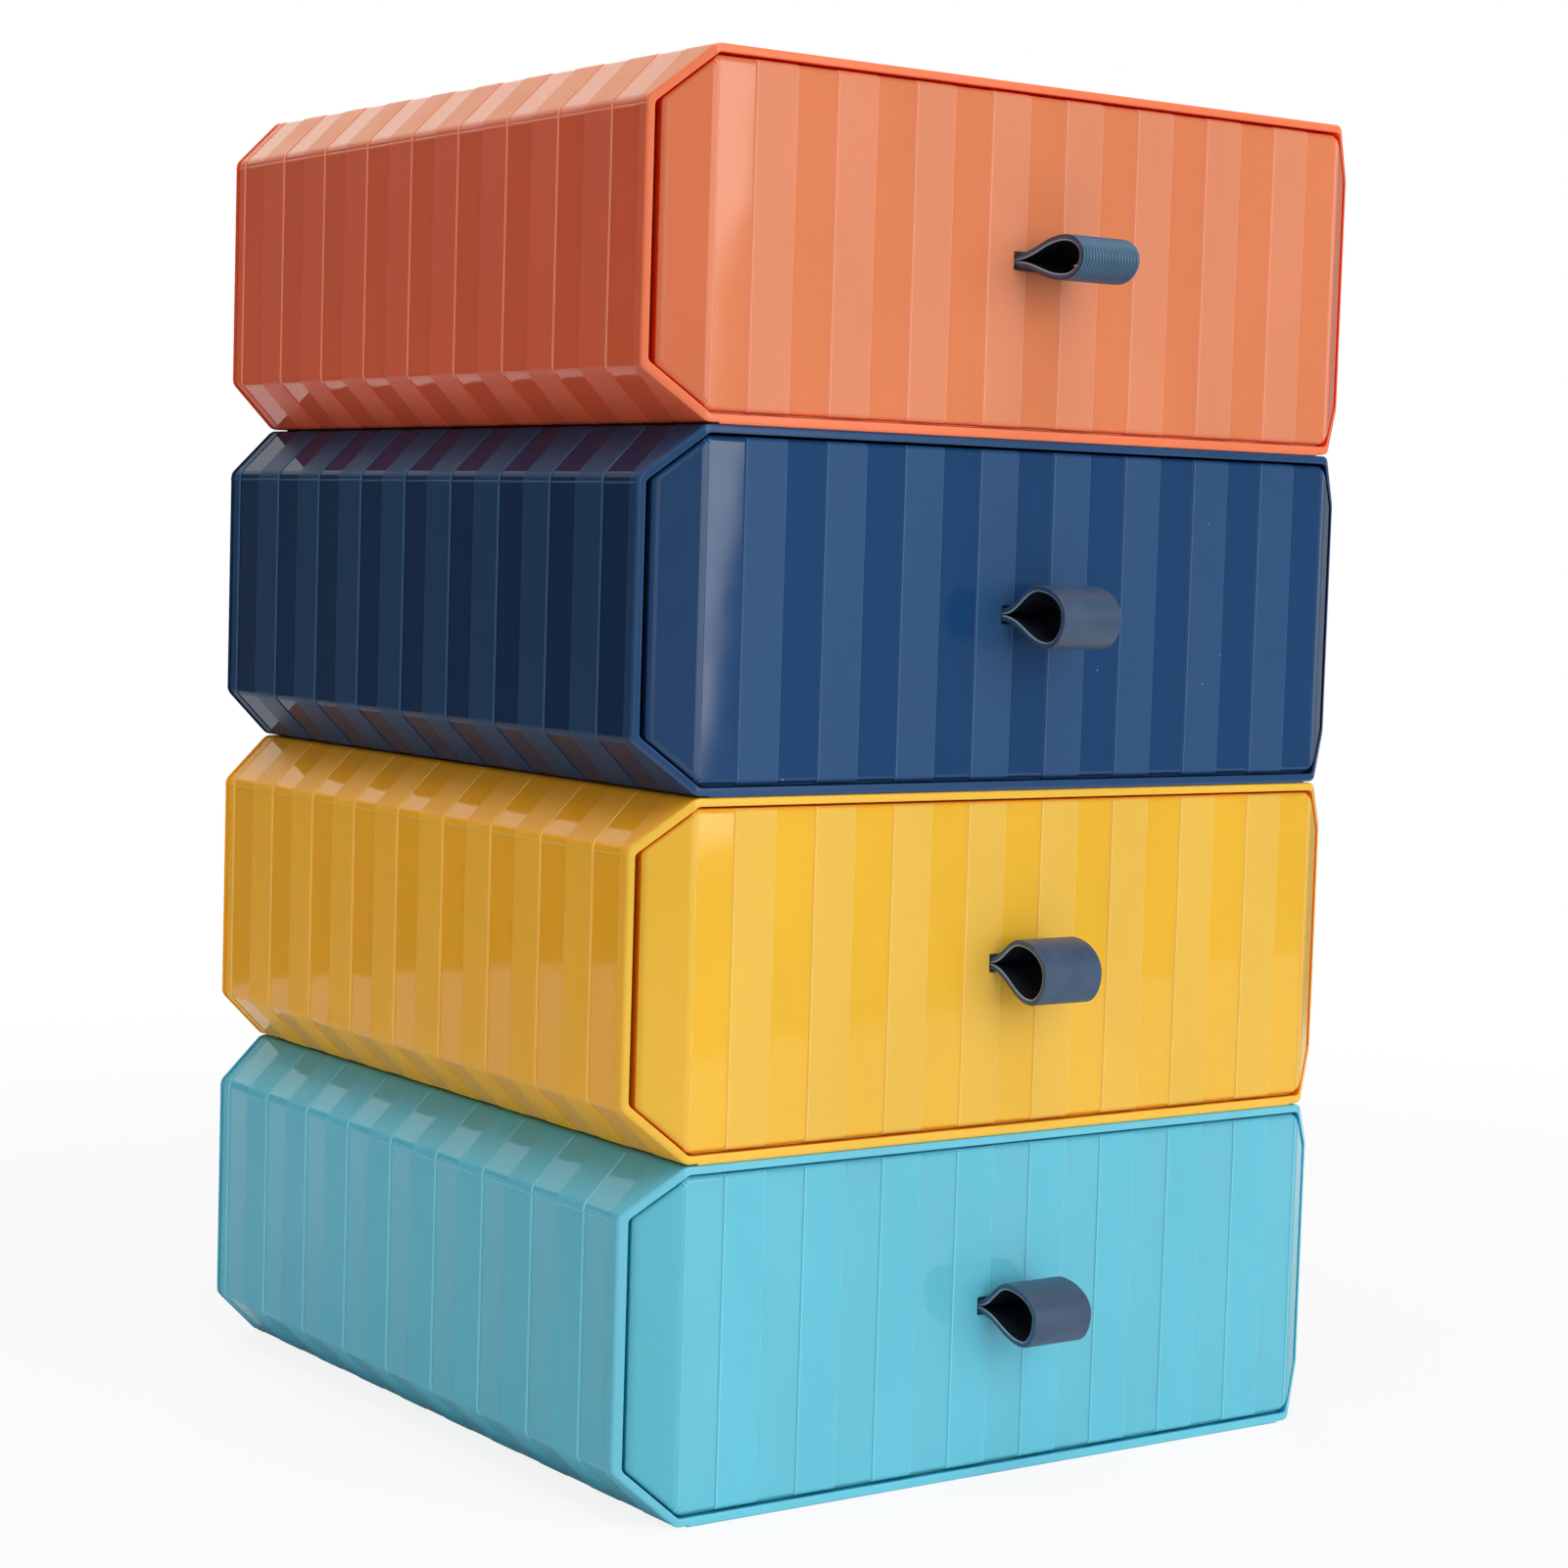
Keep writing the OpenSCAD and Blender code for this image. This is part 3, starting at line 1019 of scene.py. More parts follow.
@dataclass
class Drawer:
    """Drawer front with upright strips, and the open tray behind it."""

    level: Level
    sizes: ModuleSizes = ModuleSizes()
    strips: int = 17
    strip_edge: StepEdge = StepEdge(0.4, 0.15, 0.08, 0.2)
    bend: FrontBend = FrontBend(80.0, 0.8, 5.0)
    bend_marks: int = 8
    bend_slack: float = 0.05
    least_column: float = 0.012
    setback: float = 0.3
    front_wall: float = 2.0
    side_gap: float = 0.9
    rim_gap: float = 0.5
    edge_round: float = 1.2
    edge_steps: int = 6
    shown_steps: int = 4
    rear_round: float = 0.3
    slot_half: tuple[float, float] = (7.7, 1.8)
    slot_middle: float = 35.2
    slot_round: float = 0.2
    tray_half: float = 87.3
    tray_low: float = 2.1
    tray_high: float = 58.0
    tray_back: float = 88.2
    tray_wall: float = 1.5
    tray_floor: float = 1.6
    tray_corner: float = 4.0
    tray_corner_steps: int = 8
    tray_bend_steps: int = 4
    tray_fold_steps: int = 5
    tray_front_mark: float = 20.0
    tray_seat: float = 0.05
    rim_round: float = 0.5
    rim_depth: float = 0.5
    tab_half: float = 18.0
    tab_high: float = 68.1
    slant: float = 0.15

    def outline(self) -> Section:
        """Outline of the front panel."""
        s = self.sizes
        side, flat = s.wall + self.side_gap, s.wall + self.rim_gap
        chamfer = s.chamfer - side - flat + flat * math.sqrt(2)
        return Section(s.half - side, s.base_rise + flat, s.height - flat, chamfer, s.fold - s.wall / 2)

    @property
    def raised(self) -> float:
        """Place of the raised strips."""
        return self.sizes.front + self.setback

    @property
    def panel_back(self) -> float:
        """Place of the panel's back."""
        return self.raised + self.strip_edge.height + self.front_wall

    def back_bend(self) -> FrontBend:
        """Bend of the panel's back, shifted so that the wall keeps its thickness."""
        bend = self.sizes.bend
        shift = (self.panel_back - self.raised) * math.tan(math.atan(bend.slope) / 2)
        return FrontBend(bend.start - shift, bend.slope, bend.radius)

    def strip_edges(self) -> list[tuple[float, int]]:
        """Edges between strips on the right, from the middle outwards.

        Returns:
            Place of each edge, and 1 or -1 for a sunk strip outside or inside it.
        """
        width = 2 * self.sizes.bend.start / self.strips
        middle = self.strips // 2
        return [(width * (k + 0.5), -1 if (k + middle) % 2 == 0 else 1) for k in range(middle + 1)]

    def sunk_share(self, x: float) -> float:
        """Share of the step from the raised face to the sunk strips at x."""
        edge, way = min(self.strip_edges(), key=lambda e: abs(abs(x) - e[0]))
        return self.strip_edge.share(way * (abs(x) - edge))

    def front_y(self, p: EdgePoint, x: float) -> float:
        """Place of the front's surface at x, on the column of an edge point."""
        bent = self.raised + self.bend.setback(x)
        return bent + p.sunk * max(self.raised + self.strip_edge.height - bent, 0.0)

    def upper_edge(self) -> list[EdgePoint]:
        """Points of the front's upper edge from left to right, with one for every column of the front."""
        outline = self.outline()
        xs = outline.fold_marks() + self.bend.marks(self.bend_marks)
        for edge, way in self.strip_edges():
            xs += [edge + way * across for across, _ in self.strip_edge.profile()]
        xs.append(self.slot_half[0] + self.slot_round)
        kept: list[float] = []
        for x in sorted(xs):
            if x <= outline.half + TINY and (not kept or x - kept[-1] > self.least_column):
                kept.append(min(x, outline.half))
        right = [EdgePoint(x, *outline.edge_at(x), self.sunk_share(x)) for x in kept]
        left = [EdgePoint(-p.x, p.z, -p.across, p.up, p.sunk) for p in reversed(right)]
        return left + right

    def strip_sheen(self, first: EdgePoint, second: EdgePoint) -> Sheen:
        """Finish of the column between two points of the edge.

        Args:
            first: Point on the column's left.
            second: Point on its right.

        Returns:
            Finish of a sunk strip; painted highlight on a step's crest; painted shade on a step's wall and
            on a bent end; or else satin.
        """
        low, high = sorted((first.sunk, second.sunk))
        if low > ALL_SUNK:
            return Sheen.GLOSS
        # Painted highlight on the step's crest, painted shade on its wall.
        if high < CREST_END and high - low > CREST_DROP:
            return Sheen.CREST
        if high - low > WALL_DROP:
            return Sheen.STEP
        # Bent ends get painted shade.
        on_end = min(abs(first.x), abs(second.x)) > self.bend.start - self.bend_slack
        return Sheen.EDGE if on_end else Sheen.SATIN

    def panel_loop(self, edge: Sequence[EdgePoint], inset: float, y_of: SurfaceOf) -> Loop:
        """Loop round the panel's outline.

        Args:
            edge: Points of the upper edge.
            inset: Distance inside the outline.
            y_of: Place of the surface by the edge's point and its x after the inset.

        Returns:
            The upper row from left to right, and the lower one back.
        """
        outline = self.outline()
        upper, lower = [], []
        for p in edge:
            x, z = p.x - inset * p.across, p.z - inset * p.up
            y = y_of(p, x)
            upper.append(Vector((x, y, z)))
            lower.append(Vector((x, y, outline.low + outline.high - z)))
        return upper + lower[::-1]

    def at_slot(self, edge: Sequence[EdgePoint]) -> list[int]:
        """Numbers of the edge points whose columns end at the slot."""
        return [i for i, p in enumerate(edge) if abs(p.x) <= self.slot_half[0] + self.slot_round + TINY]

    def slot_loop(self, edge: Sequence[EdgePoint], opening: float, y_of: SurfaceOf) -> Loop:
        """Loop round the slot.

        Args:
            edge: Points of the upper edge.
            opening: How far the loop lies outside the slot.
            y_of: Place of the surface.

        Returns:
            The upper row from left to right, and the lower one back.
        """
        inside = [edge[i] for i in self.at_slot(edge)]
        reach = self.slot_half[0] + opening
        xs = [-reach, *(p.x for p in inside[1:-1]), reach]
        rows = []
        for sign in (1, -1):
            z = self.slot_middle + sign * (self.slot_half[1] + opening)
            rows.append([Vector((x, y_of(p, p.x), z)) for x, p in zip(xs, inside)])
        return rows[0] + rows[1][::-1]

    def fill(
        self,
        mould: Mould,
        rim: Sequence[Vert],
        hole: Sequence[Vert],
        edge: Sequence[EdgePoint],
        front: bool,
    ) -> None:
        """Upright columns of one face of the panel, with the slot left open.

        Args:
            mould: The piece being built.
            rim: Vertices round the panel.
            hole: Vertices round the slot.
            edge: Points of the upper edge.
            front: Whether this is the front, whose strips have their own finishes.
        """
        upper, lower = rim[: len(edge)], rim[: len(edge) - 1 : -1]
        top, bottom = hole[: len(hole) // 2], hole[: len(hole) // 2 - 1 : -1]
        inside = self.at_slot(edge)
        first, last = inside[0], inside[-1]
        for j in range(len(edge) - 1):
            sheen = self.strip_sheen(edge[j], edge[j + 1]) if front else Sheen.SATIN
            a, b, c, d = upper[j], upper[j + 1], lower[j + 1], lower[j]
            if first <= j < last:
                k = j - first
                mould.face([a, b, top[k + 1], top[k]], sheen)
                mould.face([bottom[k], bottom[k + 1], c, d], sheen)
            elif j == first - 1:
                mould.face([a, b, top[0], bottom[0], c, d], sheen)
            elif j == last:
                mould.face([a, b, c, d, bottom[-1], top[-1]], sheen)
            else:
                mould.face([a, b, c, d], sheen)

    def build_panel(self, mould: Mould) -> None:
        """Front panel with strips, bent ends, rounded edges and the slot.

        Args:
            mould: The piece being built.
        """
        edge = self.upper_edge()
        back_bend = self.back_bend()
        count = len(edge)

        def front_y(behind: float) -> SurfaceOf:
            """Surface at a distance behind the front."""
            return lambda p, x: self.front_y(p, x) + behind

        def rear_y(before: float) -> SurfaceOf:
            """Surface at a distance before the panel's back."""
            return lambda p, x: self.panel_back + back_bend.setback(x) - before

        def sheen(k: int, i: int) -> Sheen:
            """Finish of the strips where they run over the rounded edge, and painted shade on the side
            wall in the gap behind.
            """
            j = i if i < count else 2 * count - 2 - i
            # The side wall behind the rounding gets painted shade.
            if k >= self.shown_steps:
                return Sheen.GAP
            return self.strip_sheen(edge[j], edge[j + 1]) if 0 <= j < count - 1 else Sheen.EDGE

        ahead = quarter_round(self.edge_round, self.edge_steps)
        back = reversed(quarter_round(self.rear_round, 2))
        loops = [self.panel_loop(edge, inset, front_y(behind)) for inset, behind in ahead]
        loops += [self.panel_loop(edge, inset, rear_y(before)) for inset, before in back]
        rows = mould.loft(loops, sheen)
        slot_edge = [
            mould.points(self.slot_loop(edge, opening, front_y(behind)))
            for opening, behind in quarter_round(self.slot_round, 3)
        ]
        rear_hole = mould.points(self.slot_loop(edge, 0.0, rear_y(0.0)))
        self.fill(mould, rows[0], slot_edge[0], edge, True)
        self.fill(mould, rows[-1], rear_hole, edge, False)
        for first, second in zip(slot_edge, [*slot_edge[1:], rear_hole]):
            mould.bridge(first, second)

    def tray_loop(self, inset: float, reach: float, z: float, front: float, rim: bool = False) -> Loop:
        """One loop of the tray in plan.

        Args:
            inset: Distance inside the tray's outline.
            reach: Half width that the sloping lower edges leave at this height.
            z: Height of the loop.
            front: Place of the front's flat.
            rim: Whether the loop belongs to the rim, which the tab raises.

        Returns:
            Points of the loop, the front first.
        """
        half, back = self.tray_half - inset, self.tray_back - inset
        bend = self.back_bend()
        corner = Vector((half, 0)), Vector((half, back)), Vector((0, back))
        front_marks = (self.tray_front_mark, *bend.marks(self.tray_bend_steps), half)
        right = [
            *((x, front + bend.setback(x)) for x in front_marks),
            *corner_arc(*corner, self.tray_corner - inset, self.tray_corner_steps),
            (self.tab_half + self.slant, back),
            (self.tab_half, back),
        ]
        heights = [z] * len(right)
        if rim:
            heights[-1] += self.tab_high - self.tray_high
        loop = [Vector((min(x, reach), y, height)) for (x, y), height in zip(right, heights)]
        return loop + [Vector((-p.x, p.y, p.z)) for p in reversed(loop)]

    def tray_slopes(self, wall: float, floor: float) -> list[tuple[float, float]]:
        """Section of the tray's side from the rim to the flat of its floor.

        Args:
            wall: Thickness taken off at the sides.
            floor: Thickness taken off below.

        Returns:
            Pairs of half width and height.
        """
        s = self.sizes
        gap = self.tray_half - s.half + s.wall
        slide = self.tray_low - s.base_rise - s.wall
        side, flat = s.wall - gap + wall, s.wall + slide + floor
        normal = s.wall + slide - gap / 2 + floor
        chamfer = s.chamfer - side - flat + normal * math.sqrt(2)
        half, low = self.tray_half - wall, self.tray_low + floor
        fold = s.fold - wall / 2
        top, upper = Vector((half, self.tray_high)), Vector((half, low + chamfer))
        lower, end = Vector((half - chamfer, low)), Vector((0, low))
        steps = self.tray_fold_steps
        points = corner_arc(top, upper, lower, fold, steps) + corner_arc(upper, lower, end, fold, steps)
        return [(p.x, p.y) for p in points]

    def build_tray(self, mould: Mould) -> None:
        """Open tray with its rounded rim and the tab on its back.

        Args:
            mould: The piece being built.
        """
        outside = self.panel_back - self.front_wall / 2
        inside = self.panel_back + self.tray_seat
        below = self.tray_high - self.rim_round - self.rim_depth
        wall, rim = self.tray_wall, quarter_round(self.rim_round, 3)
        loops = [
            *(self.tray_loop(0.0, reach, z, outside) for reach, z in reversed(self.tray_slopes(0.0, 0.0))),
            self.tray_loop(0.0, math.inf, below, outside),
        ]
        for inset, drop in reversed(rim):
            loops.append(self.tray_loop(inset, math.inf, self.tray_high - drop, outside, True))
        for inset, drop in rim:
            front = inside if inset == 0 else outside + self.front_wall / 4
            loops.append(self.tray_loop(wall - inset, math.inf, self.tray_high - drop, front, True))
        loops.append(self.tray_loop(wall, math.inf, below, inside))
        for reach, z in self.tray_slopes(wall, self.tray_floor):
            loops.append(self.tray_loop(wall, reach, z, inside))
        mould.solid(loops)

    def build(self, materials: Sequence[Material]) -> Object:
        """Builds and dresses the drawer.

        Args:
            materials: The module's finishes.

        Returns:
            The drawer's object.
        """
        mould = Mould(self.level.value * self.sizes.height)
        self.build_panel(mould)
        self.build_tray(mould)
        name = self.level.name.lower()
        drawer = mould.finished(f"{name}_drawer_front_and_tray", materials)
        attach(drawer, f"{name}_drawer")
        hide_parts(f"{name}_drawer")
        return drawer


@dataclass(frozen=True)
class LoopShape:
    """Crest, nose and belly of a strap's loop, each as distance in front of the sunk face and height."""

    crest: tuple[float, float]
    nose: tuple[float, float]
    belly: tuple[float, float]


@dataclass
class Pull:
    """Rubber strap whose legs pass through the slot to thick ends behind the front."""

    level: Level
    shape: LoopShape
    grooves: Grooves
    sizes: ModuleSizes = ModuleSizes()
    half_width: float = 7.3
    thickness: float = 1.3
    leg_gap: float = 0.05
    middle: float = 35.2
    sunk_face: float = -89.3
    leg_end: float = -2.2
    tail_end: float = -4.2
    tail_reach: float = 3.4
    tail_round: float = 0.2
    edge_round: float = 0.35
    smooth_mark: float = 2.4
    groove_count: int = 17
    groove_pitch: float = 0.8
    groove_depth: float = 0.2
    groove_half: float = 0.26
    groove_shoulder: float = 0.8
    curve_steps: int = 16
    quarter_handle: float = 0.5523
    leg_handle: float = 0.4

    @property
    def leg(self) -> float:
        """Distance of a leg's middle line from the middle of the slot."""
        return (self.leg_gap + self.thickness) / 2

    def centre_line(self) -> list[tuple[Vector, Vector]]:
        """Middle of the strap's thickness.

        Returns:
            Points and headings, from the slot over the crest, nose and belly back to the slot.
        """
        half, leg = self.thickness / 2, self.leg
        crest = Vector(self.shape.crest) - Vector((0, half))
        nose = Vector(self.shape.nose) - Vector((half, 0))
        belly = Vector(self.shape.belly) + Vector((0, half))
        q, h = self.quarter_handle, self.leg_handle
        handles = [
            (0, leg), (h * crest.x, leg), ((1 - h) * crest.x, crest.y),
            crest, (crest.x + q * (nose.x - crest.x), crest.y), (nose.x, nose.y + q * (crest.y - nose.y)),
            nose, (nose.x, nose.y + q * (belly.y - nose.y)), (belly.x + q * (nose.x - belly.x), belly.y),
            belly, ((1 - h) * belly.x, belly.y), (h * belly.x, -leg), (0, -leg),
        ]
        stations = []
        for k in range(0, len(handles) - 1, 3):
            p0, p1, p2, p3 = (Vector(p) for p in handles[k : k + 4])
            for i in range(0 if k == 0 else 1, self.curve_steps + 1):
                t = i / self.curve_steps
                u = 1 - t
                place = u**3 * p0 + 3 * u * u * t * p1 + 3 * u * t * t * p2 + t**3 * p3
                heading = u * u * (p1 - p0) + 2 * u * t * (p2 - p1) + t * t * (p3 - p2)
                stations.append((place, heading.normalized()))
        return stations

    def cross_section(self) -> list[tuple[float, int, float]]:
        """Section across the strap.

        Returns:
            Points as (x, face, depth): face is 1 outside and -1 inside, depth goes inwards from it.
        """
        rounding = [(self.half_width - b, d) for b, d in quarter_round(self.edge_round, 3)]
        start = [(-x, d) for x, d in reversed(rounding)]
        first = -(self.groove_count // 2) * self.groove_pitch
        half, shoulder = self.groove_half, self.groove_depth * self.groove_shoulder
        deepest = (0.0, self.groove_depth)
        shape = ((-half, 0.0), (-half / 2, shoulder), deepest, (half / 2, shoulder), (half, 0.0))
        grooved = list(start)
        for i in range(self.groove_count):
            grooved += [(first + i * self.groove_pitch + across, depth) for across, depth in shape]
        grooved += rounding
        smooth = [*start, (-self.smooth_mark, 0.0), (self.smooth_mark, 0.0), *rounding]
        outside, inside = (grooved, smooth) if self.grooves is Grooves.OUTSIDE else (smooth, grooved)
        return [(x, 1, d) for x, d in outside] + [(x, -1, d) for x, d in reversed(inside)]

    def tail(self) -> list[tuple[Vector, Vector, float]]:
        """Places along one thick end, like those of stations."""
        thick, less = self.tail_reach - self.leg, self.tail_round
        ahead = Vector((1, 0))
        return [
            (Vector((self.tail_end, self.leg)), ahead, thick - less),
            (Vector((self.tail_end + less, self.leg)), ahead, thick),
            (Vector((self.leg_end - less, self.leg)), ahead, thick),
            (Vector((self.leg_end, self.leg)), ahead, thick - less),
            (Vector((self.leg_end, self.leg)), ahead, self.thickness / 2),
        ]

    def stations(self) -> list[tuple[Vector, Vector, float]]:
        """Places along the strap.

        Returns:
            Point, heading, and distance of the outside face from the middle line.
        """
        loop = [(place, heading, self.thickness / 2) for place, heading in self.centre_line()]
        end = [(Vector((p.x, -p.y)), -heading, reach) for p, heading, reach in reversed(self.tail())]
        return self.tail() + loop + end

    def build(self, materials: Sequence[Material]) -> Object:
        """Builds and dresses the strap.

        Args:
            materials: The rubber, in the order of Skin.

        Returns:
            The strap's object.
        """
        mould = Mould(self.level.value * self.sizes.height)
        section = self.cross_section()
        loops = []
        for place, heading, reach in self.stations():
            normal = Vector((-heading.y, heading.x))
            loop = []
            for x, face, depth in section:
                offset = reach - depth if face > 0 else depth - self.thickness / 2
                p = place + normal * offset
                loop.append(Vector((x, self.sunk_face - p.x, self.middle + p.y)))
            loops.append(loop)
        wide = sum(1 for _, face, _ in section if face > 0)
        count, ends = len(section), len(self.tail())
        rim = (wide, wide + 1, count - 3, count - 2)

        def skin(k: int, i: int) -> Skin:
            """Pale rim along the inner edges, painted shade inside the loop, and, where the grooves lie
            outside, painted light on the ridges and painted shade in the grooves.
            """
            if i in rim:
                return Skin.RIM
            # Ridges get painted light and grooves painted shade.
            if self.grooves is Grooves.OUTSIDE and i < wide:
                sunk = min(section[i][2], section[i + 1][2]) > TINY
                return Skin.GROOVE if sunk else Skin.RIDGE
            # The inside of the loop gets painted shade.
            inside = wide <= i < count - 1 and ends <= k < len(loops) - 1 - ends
            return Skin.INSIDE if inside else Skin.OUTSIDE

        mould.solid(loops, skin)
        name = self.level.name.lower()
        strap = mould.finished(f"{name}_pull_strap", materials)
        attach(strap, f"{name}_drawer")
        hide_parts(f"{name}_pull")
        return strap


@dataclass
class Module:
    """One module of the stack: casing, drawer and pull."""

    level: Level
    casing: Paint
    drawer: Paint
    loop: LoopShape
    lip_wall: float
    grooves: Grooves = Grooves.INSIDE

    def build(self, rubber: Sequence[Material]) -> list[Object]:
        """Builds the three pieces.

        Args:
            rubber: Materials of the pull, in the order of Skin.

        Returns:
            The module's objects.
        """
        name = self.level.name.lower()
        middle = (self.level.value + 0.5) * ModuleSizes.height
        casing = Casing(self.level, lip_wall=self.lip_wall)
        return [
            casing.build(self.casing.materials(f"{name}_casing", middle)),
            Drawer(self.level).build(self.drawer.materials(f"{name}_drawer", middle)),
            Pull(self.level, self.loop, self.grooves).build(rubber),
        ]


# --------------------------------------------------------------------------------------------------
# Studio


@dataclass(frozen=True)
class Softbox:
    """Flat lamp that gives soft shadows."""

    name: str
    place: tuple[float, float, float]
    aim: tuple[float, float, float]
    size: tuple[float, float]
    power: float

    def build(self) -> Object:
        """Hangs the lamp and turns it to its aim."""
        data = bpy.data.lights.new(self.name, "AREA")
        data.shape = "RECTANGLE"
        data.size, data.size_y = self.size
        data.energy = self.power
        lamp = bpy.data.objects.new(self.name, data)
        lamp.location = self.place
        lamp.rotation_euler = (Vector(self.aim) - Vector(self.place)).to_track_quat("-Z", "Y").to_euler()
        bpy.context.scene.collection.objects.link(lamp)
        return lamp


@dataclass
class Studio:
    """Plain pale floor, soft light and the camera."""

    floor_half: float = 0.62
    floor_white: float = 0.86
    floor_roughness: float = 0.7
    ambient: float = 0.22
    glow_near: float = 0.86
    fade: tuple[float, float] = (0.28, 0.6)
    mirror_fade: tuple[float, float] = (0.12, 0.45)
    backdrop_reach: tuple[float, float] = (0.9, 0.97)
    camera_place: tuple[float, float, float] = (-0.42525, -0.60328, 0.18966)
    camera_right: tuple[float, float, float] = (0.81569, -0.57770, 0.03019)
    camera_up: tuple[float, float, float] = (0.01872, 0.07852, 0.99674)
    camera_forward: tuple[float, float, float] = (0.57819, 0.81246, -0.07486)
    camera_range: tuple[float, float] = (0.05, 50.0)
    sensor: float = 36.0
    lens: float = 75.98
    lamps: list[Softbox] = field(default_factory=lambda: [
        Softbox("key", (0.045, -1.5, 0.66), (0.045, -0.05, 0.66), (1.68, 1.31), 15.5),
        Softbox("streak", (0.835, -1.49, 0.66), (0.835, -0.05, 0.66), (0.1, 1.31), 0.7),
        Softbox("overhead", (-0.15, -0.3, 1.5), (0.0, 0.0, 0.2), (1.2, 1.0), 11.0),
        Softbox("left fill", (-1.5, -0.85, 0.5), (0.0, 0.0, 0.14), (0.5, 1.0), 1.85),
        Softbox("right fill", (1.6, -0.5, 0.5), (0.0, 0.0, 0.14), (0.5, 1.0), 2.5),
        Softbox("high back", (-0.1, 1.1, 0.98), (0.0, 0.0, 0.2), (1.6, 1.0), 5.5),
    ])

    def paper(self) -> Material:
        """Floor's material: it keeps the soft shadow near the stack, and turns plain white further away.

        Returns:
            The material.
        """
        material = bpy.data.materials.new("floor_paper")
        board = NodeBoard(material)
        board.dress({"Base Color": (*(self.floor_white,) * 3, 1.0), "Roughness": self.floor_roughness})
        glow = board.add("ShaderNodeEmission", Strength=1.0)
        path = board.add("ShaderNodeLightPath").outputs
        length = board.add("ShaderNodeVectorMath", operation="LENGTH")
        board.link(board.place, length.inputs[0])
        away = length.outputs["Value"]
        share = board.spread(board.ease(away, *self.fade), self.glow_near, 1.0, 0.0, 1.0)
        direct = board.compute("MULTIPLY", path["Is Camera Ray"], share)
        other = board.compute("MAXIMUM", path["Is Glossy Ray"], path["Is Transmission Ray"])
        mirrored = board.compute("MULTIPLY", other, board.ease(away, *self.mirror_fade))
        blend = board.add("ShaderNodeMixShader")
        board.link(board.compute("MAXIMUM", direct, mirrored), blend.inputs["Fac"])
        board.link(board.shader.outputs[0], blend.inputs[1])
        board.link(glow.outputs[0], blend.inputs[2])
        output = next(n for n in board.tree.nodes if n.type == "OUTPUT_MATERIAL")
        board.link(blend.outputs[0], output.inputs["Surface"])
        return material

    def build_floor(self) -> Object:
        """Pale floor that keeps the stack's soft shadow."""
        mesh = bpy.data.meshes.new("floor")
        bm = bmesh.new()
        half = self.floor_half
        corners = ((-1, -1), (1, -1), (1, 1), (-1, 1))
        bm.faces.new([bm.verts.new((x * half, y * half, 0.0)) for x, y in corners])
        bm.to_mesh(mesh)
        bm.free()
        mesh.materials.append(self.paper())
        floor = bpy.data.objects.new("floor", mesh)
        bpy.context.scene.collection.objects.link(floor)
        return floor

    def build_world(self) -> None:
        """Even soft surroundings, white to the camera and in what the part mirrors of the far side."""
        world = bpy.data.worlds.new("studio")
        bpy.context.scene.world = world
        board = NodeBoard(world, "Background")
        path = board.add("ShaderNodeLightPath").outputs
        facing = board.add("ShaderNodeVectorMath", operation="DOT_PRODUCT")
        facing.inputs[1].default_value = (*self.camera_forward[:2], 0.0)
        board.link(board.coordinates["Generated"], facing.inputs[0])
        behind = board.ease(facing.outputs["Value"], *self.backdrop_reach)
        mirrored = board.compute("MULTIPLY", path["Is Glossy Ray"], behind)
        direct = board.compute("MAXIMUM", path["Is Camera Ray"], path["Is Transmission Ray"])
        seen = board.compute("MAXIMUM", direct, mirrored)
        strength = board.spread(seen, self.ambient, 1.0, 0.0, 1.0)
        board.dress({"Color": (1.0, 1.0, 1.0, 1.0), "Strength": strength})

    def build_camera(self) -> Object:
        """Camera at the photograph's viewing angle."""
        data = bpy.data.cameras.new("camera")
        data.sensor_width = self.sensor
        data.sensor_fit = "HORIZONTAL"
        data.lens = self.lens
        data.clip_start, data.clip_end = self.camera_range
        camera = bpy.data.objects.new("camera", data)
        right, up, forward = (Vector(v) for v in (self.camera_right, self.camera_up, self.camera_forward))
        turn = Matrix((right, up, -forward)).transposed()
        camera.matrix_world = Matrix.Translation(self.camera_place) @ turn.to_4x4()
        bpy.context.scene.collection.objects.link(camera)
        bpy.context.scene.camera = camera
        return camera

    def build(self) -> None:
        """Sets up the floor, the surroundings, the lamps and the camera."""
        self.build_floor()
        self.build_world()
        for lamp in self.lamps:
            lamp.build()
        self.build_camera()
        bpy.context.scene.view_settings.view_transform = "Standard"


RUBBER = (
    PullRubber("pull_rubber", "#324762", "#3b5370"),
    # Painted shade on the inside of the loop.
    PullRubber("pull_rubber_inside", "#0c121c", "#101826", roughness=0.6, shine=0.15),
    PullRubber("pull_rubber_rim", "#8092a2", "#93a3b0"),
    # Painted light on the ridges between the grooves.
    PullRubber("pull_rubber_grooved", "#35607e", "#3e6a88"),
    # Painted shade in the grooves.
    PullRubber("pull_rubber_groove", "#142a40", "#1a3048"),
)
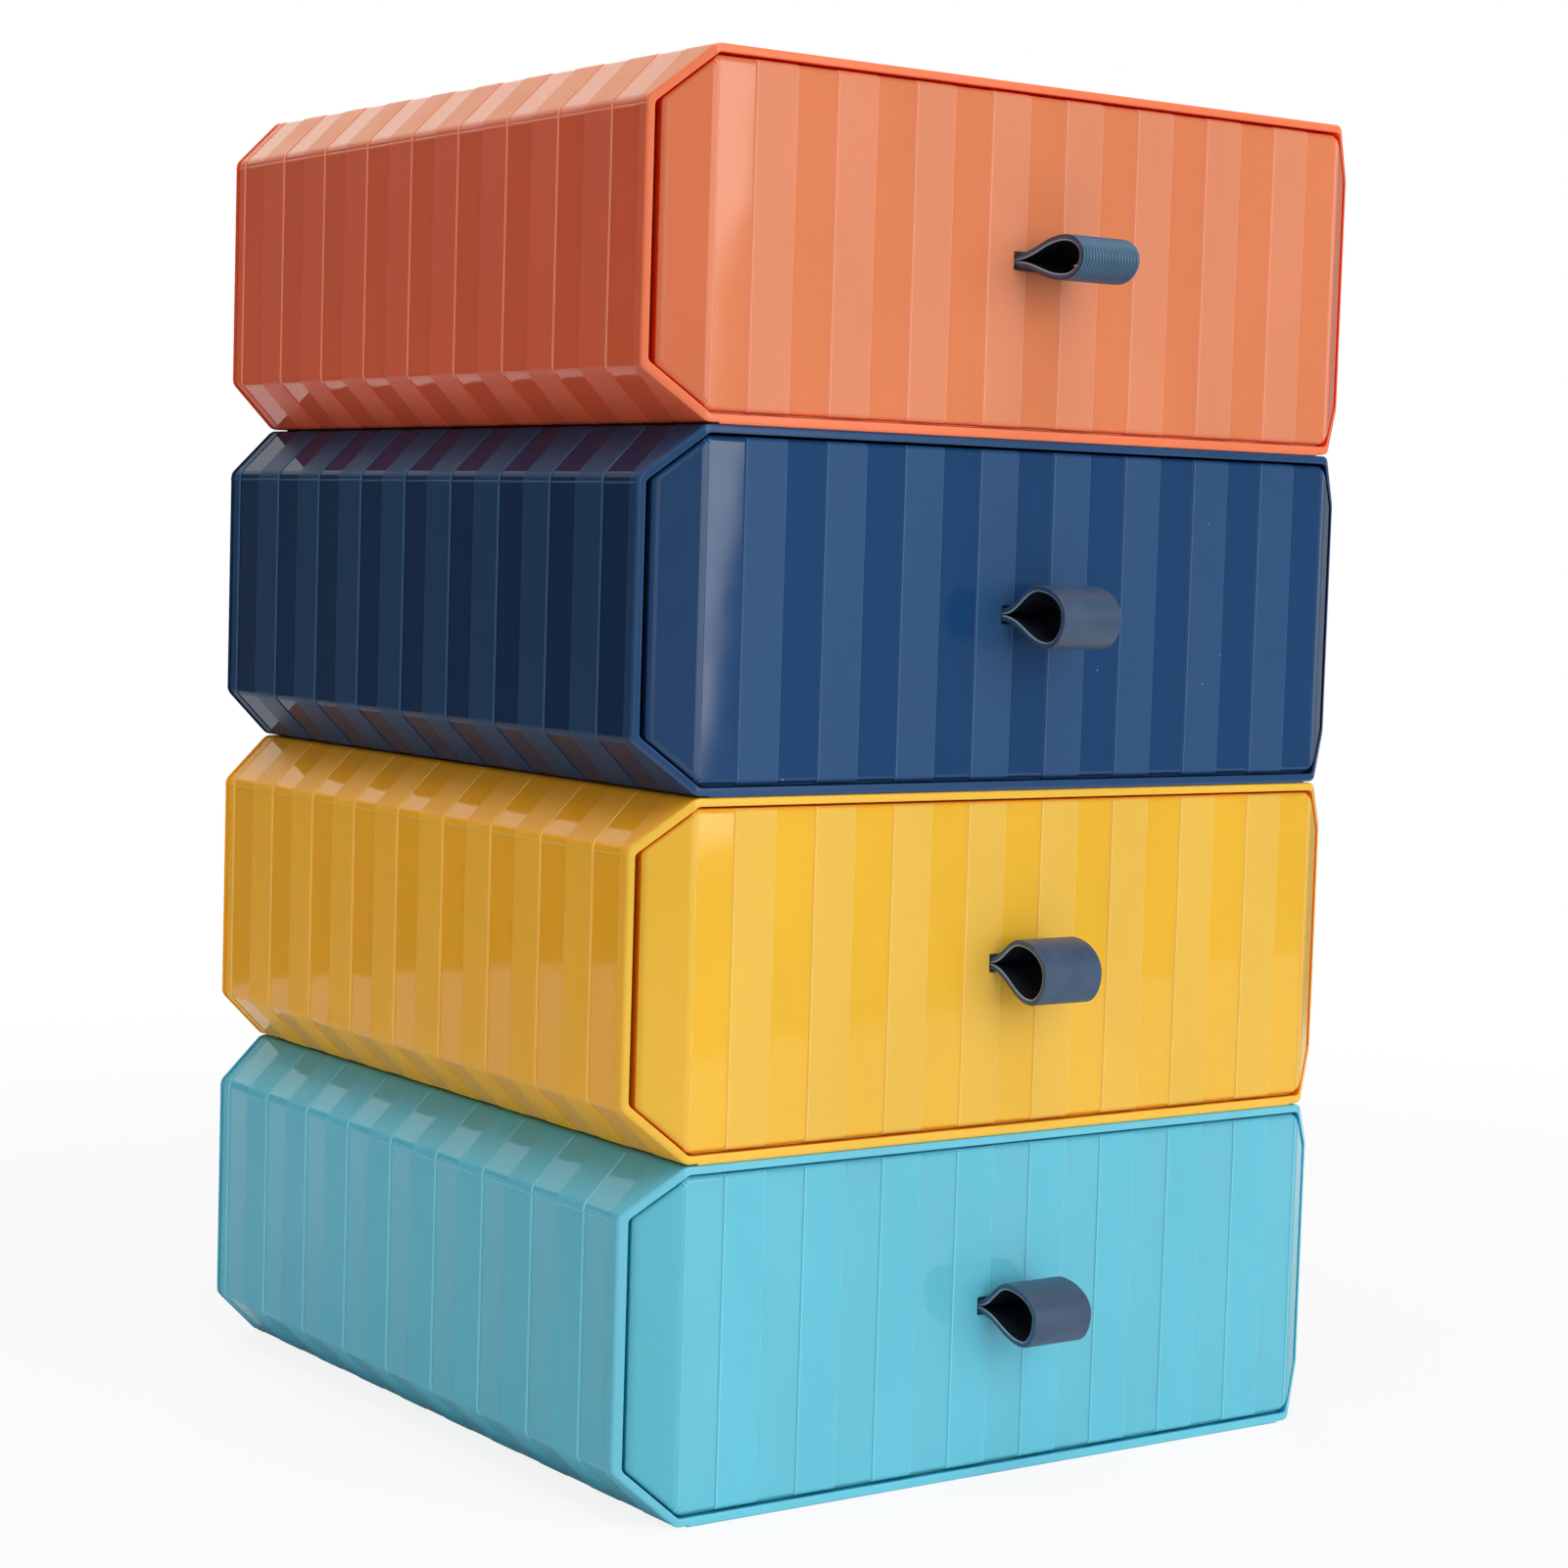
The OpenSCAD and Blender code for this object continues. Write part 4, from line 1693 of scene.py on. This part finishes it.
# The casing colours are darker and more saturated than the drawer colours of the same module: painted
# shade for the casing's sides, which face away from the light.
MODULES = (
    Module(
        Level.TEAL,
        Paint("#5cbcd2", "#5abacf", "#6cc6dc", "#2a9cb4", "#5cbcd2", "#84d2e4", gloss_shine=0.4),
        Paint("#65c2d8", "#66c0d5", "#58b8cc", "#1c96ae", "#5cb8ce", "#8cdcea", twist=0.15),
        LoopShape(crest=(9.0, 6.3), nose=(18.3, 0.6), belly=(13.9, -5.6)),
        lip_wall=1.75,
    ),
    Module(
        Level.YELLOW,
        Paint(
            "#fdb61e", "#fcb018", "#f4c040", "#fa8c10", "#fdb61e", "#f8c468",
            faded="#fcac20", gloss_shine=0.3,
        ),
        Paint(
            "#ebbd4a", "#f0bb38", "#e9b634", "#fe6c04", "#f0b840", "#fad478",
            gloss_shine=0.4, twist=0.15,
        ),
        LoopShape(crest=(8.8, 5.7), nose=(17.6, -0.8), belly=(12.6, -7.0)),
        lip_wall=1.3,
    ),
    Module(
        Level.BLUE,
        Paint(
            "#173a5c", "#0b2a4c", "#1e4672", "#0a2242", "#173a5c", "#2e547c",
            gap_depth_mm=1.0, satin_shine=0.12, gloss_shine=0.1, dust=0.01,
        ),
        Paint(
            "#234d79", "#1a4370", "#193e68", "#0a2242", "#1a406c", "#3c6a98",
            gap_depth_mm=1.0, dust=0.02, twist=0.15,
        ),
        LoopShape(crest=(10.8, 6.2), nose=(19.4, 0.1), belly=(13.9, -6.2)),
        lip_wall=1.4,
    ),
    Module(
        Level.ORANGE,
        Paint(
            "#de5c36", "#dc5a31", "#f68054", "#fc4a20", "#de5f39", "#e2906c",
            faded="#e48a58", satin_shine=0.4,
        ),
        Paint(
            "#e18b65", "#e28559", "#df784f", "#fe300c", "#ea8c66", "#f6a88a",
            dust=0.01, twist=0.15,
        ),
        LoopShape(crest=(14.6, 4.5), nose=(20.9, 0.1), belly=(15.0, -4.4)),
        lip_wall=1.25,
        grooves=Grooves.OUTSIDE,
    ),
)


def main() -> None:
    """Builds the stack and its studio."""
    logging.basicConfig(level=logging.INFO, format="%(name)s: %(message)s")
    rubber = [finish.material() for finish in RUBBER]
    for module in MODULES:
        module.build(rubber)
    Studio().build()
    bpy.context.view_layer.update()


if __name__ == "__main__":
    main()
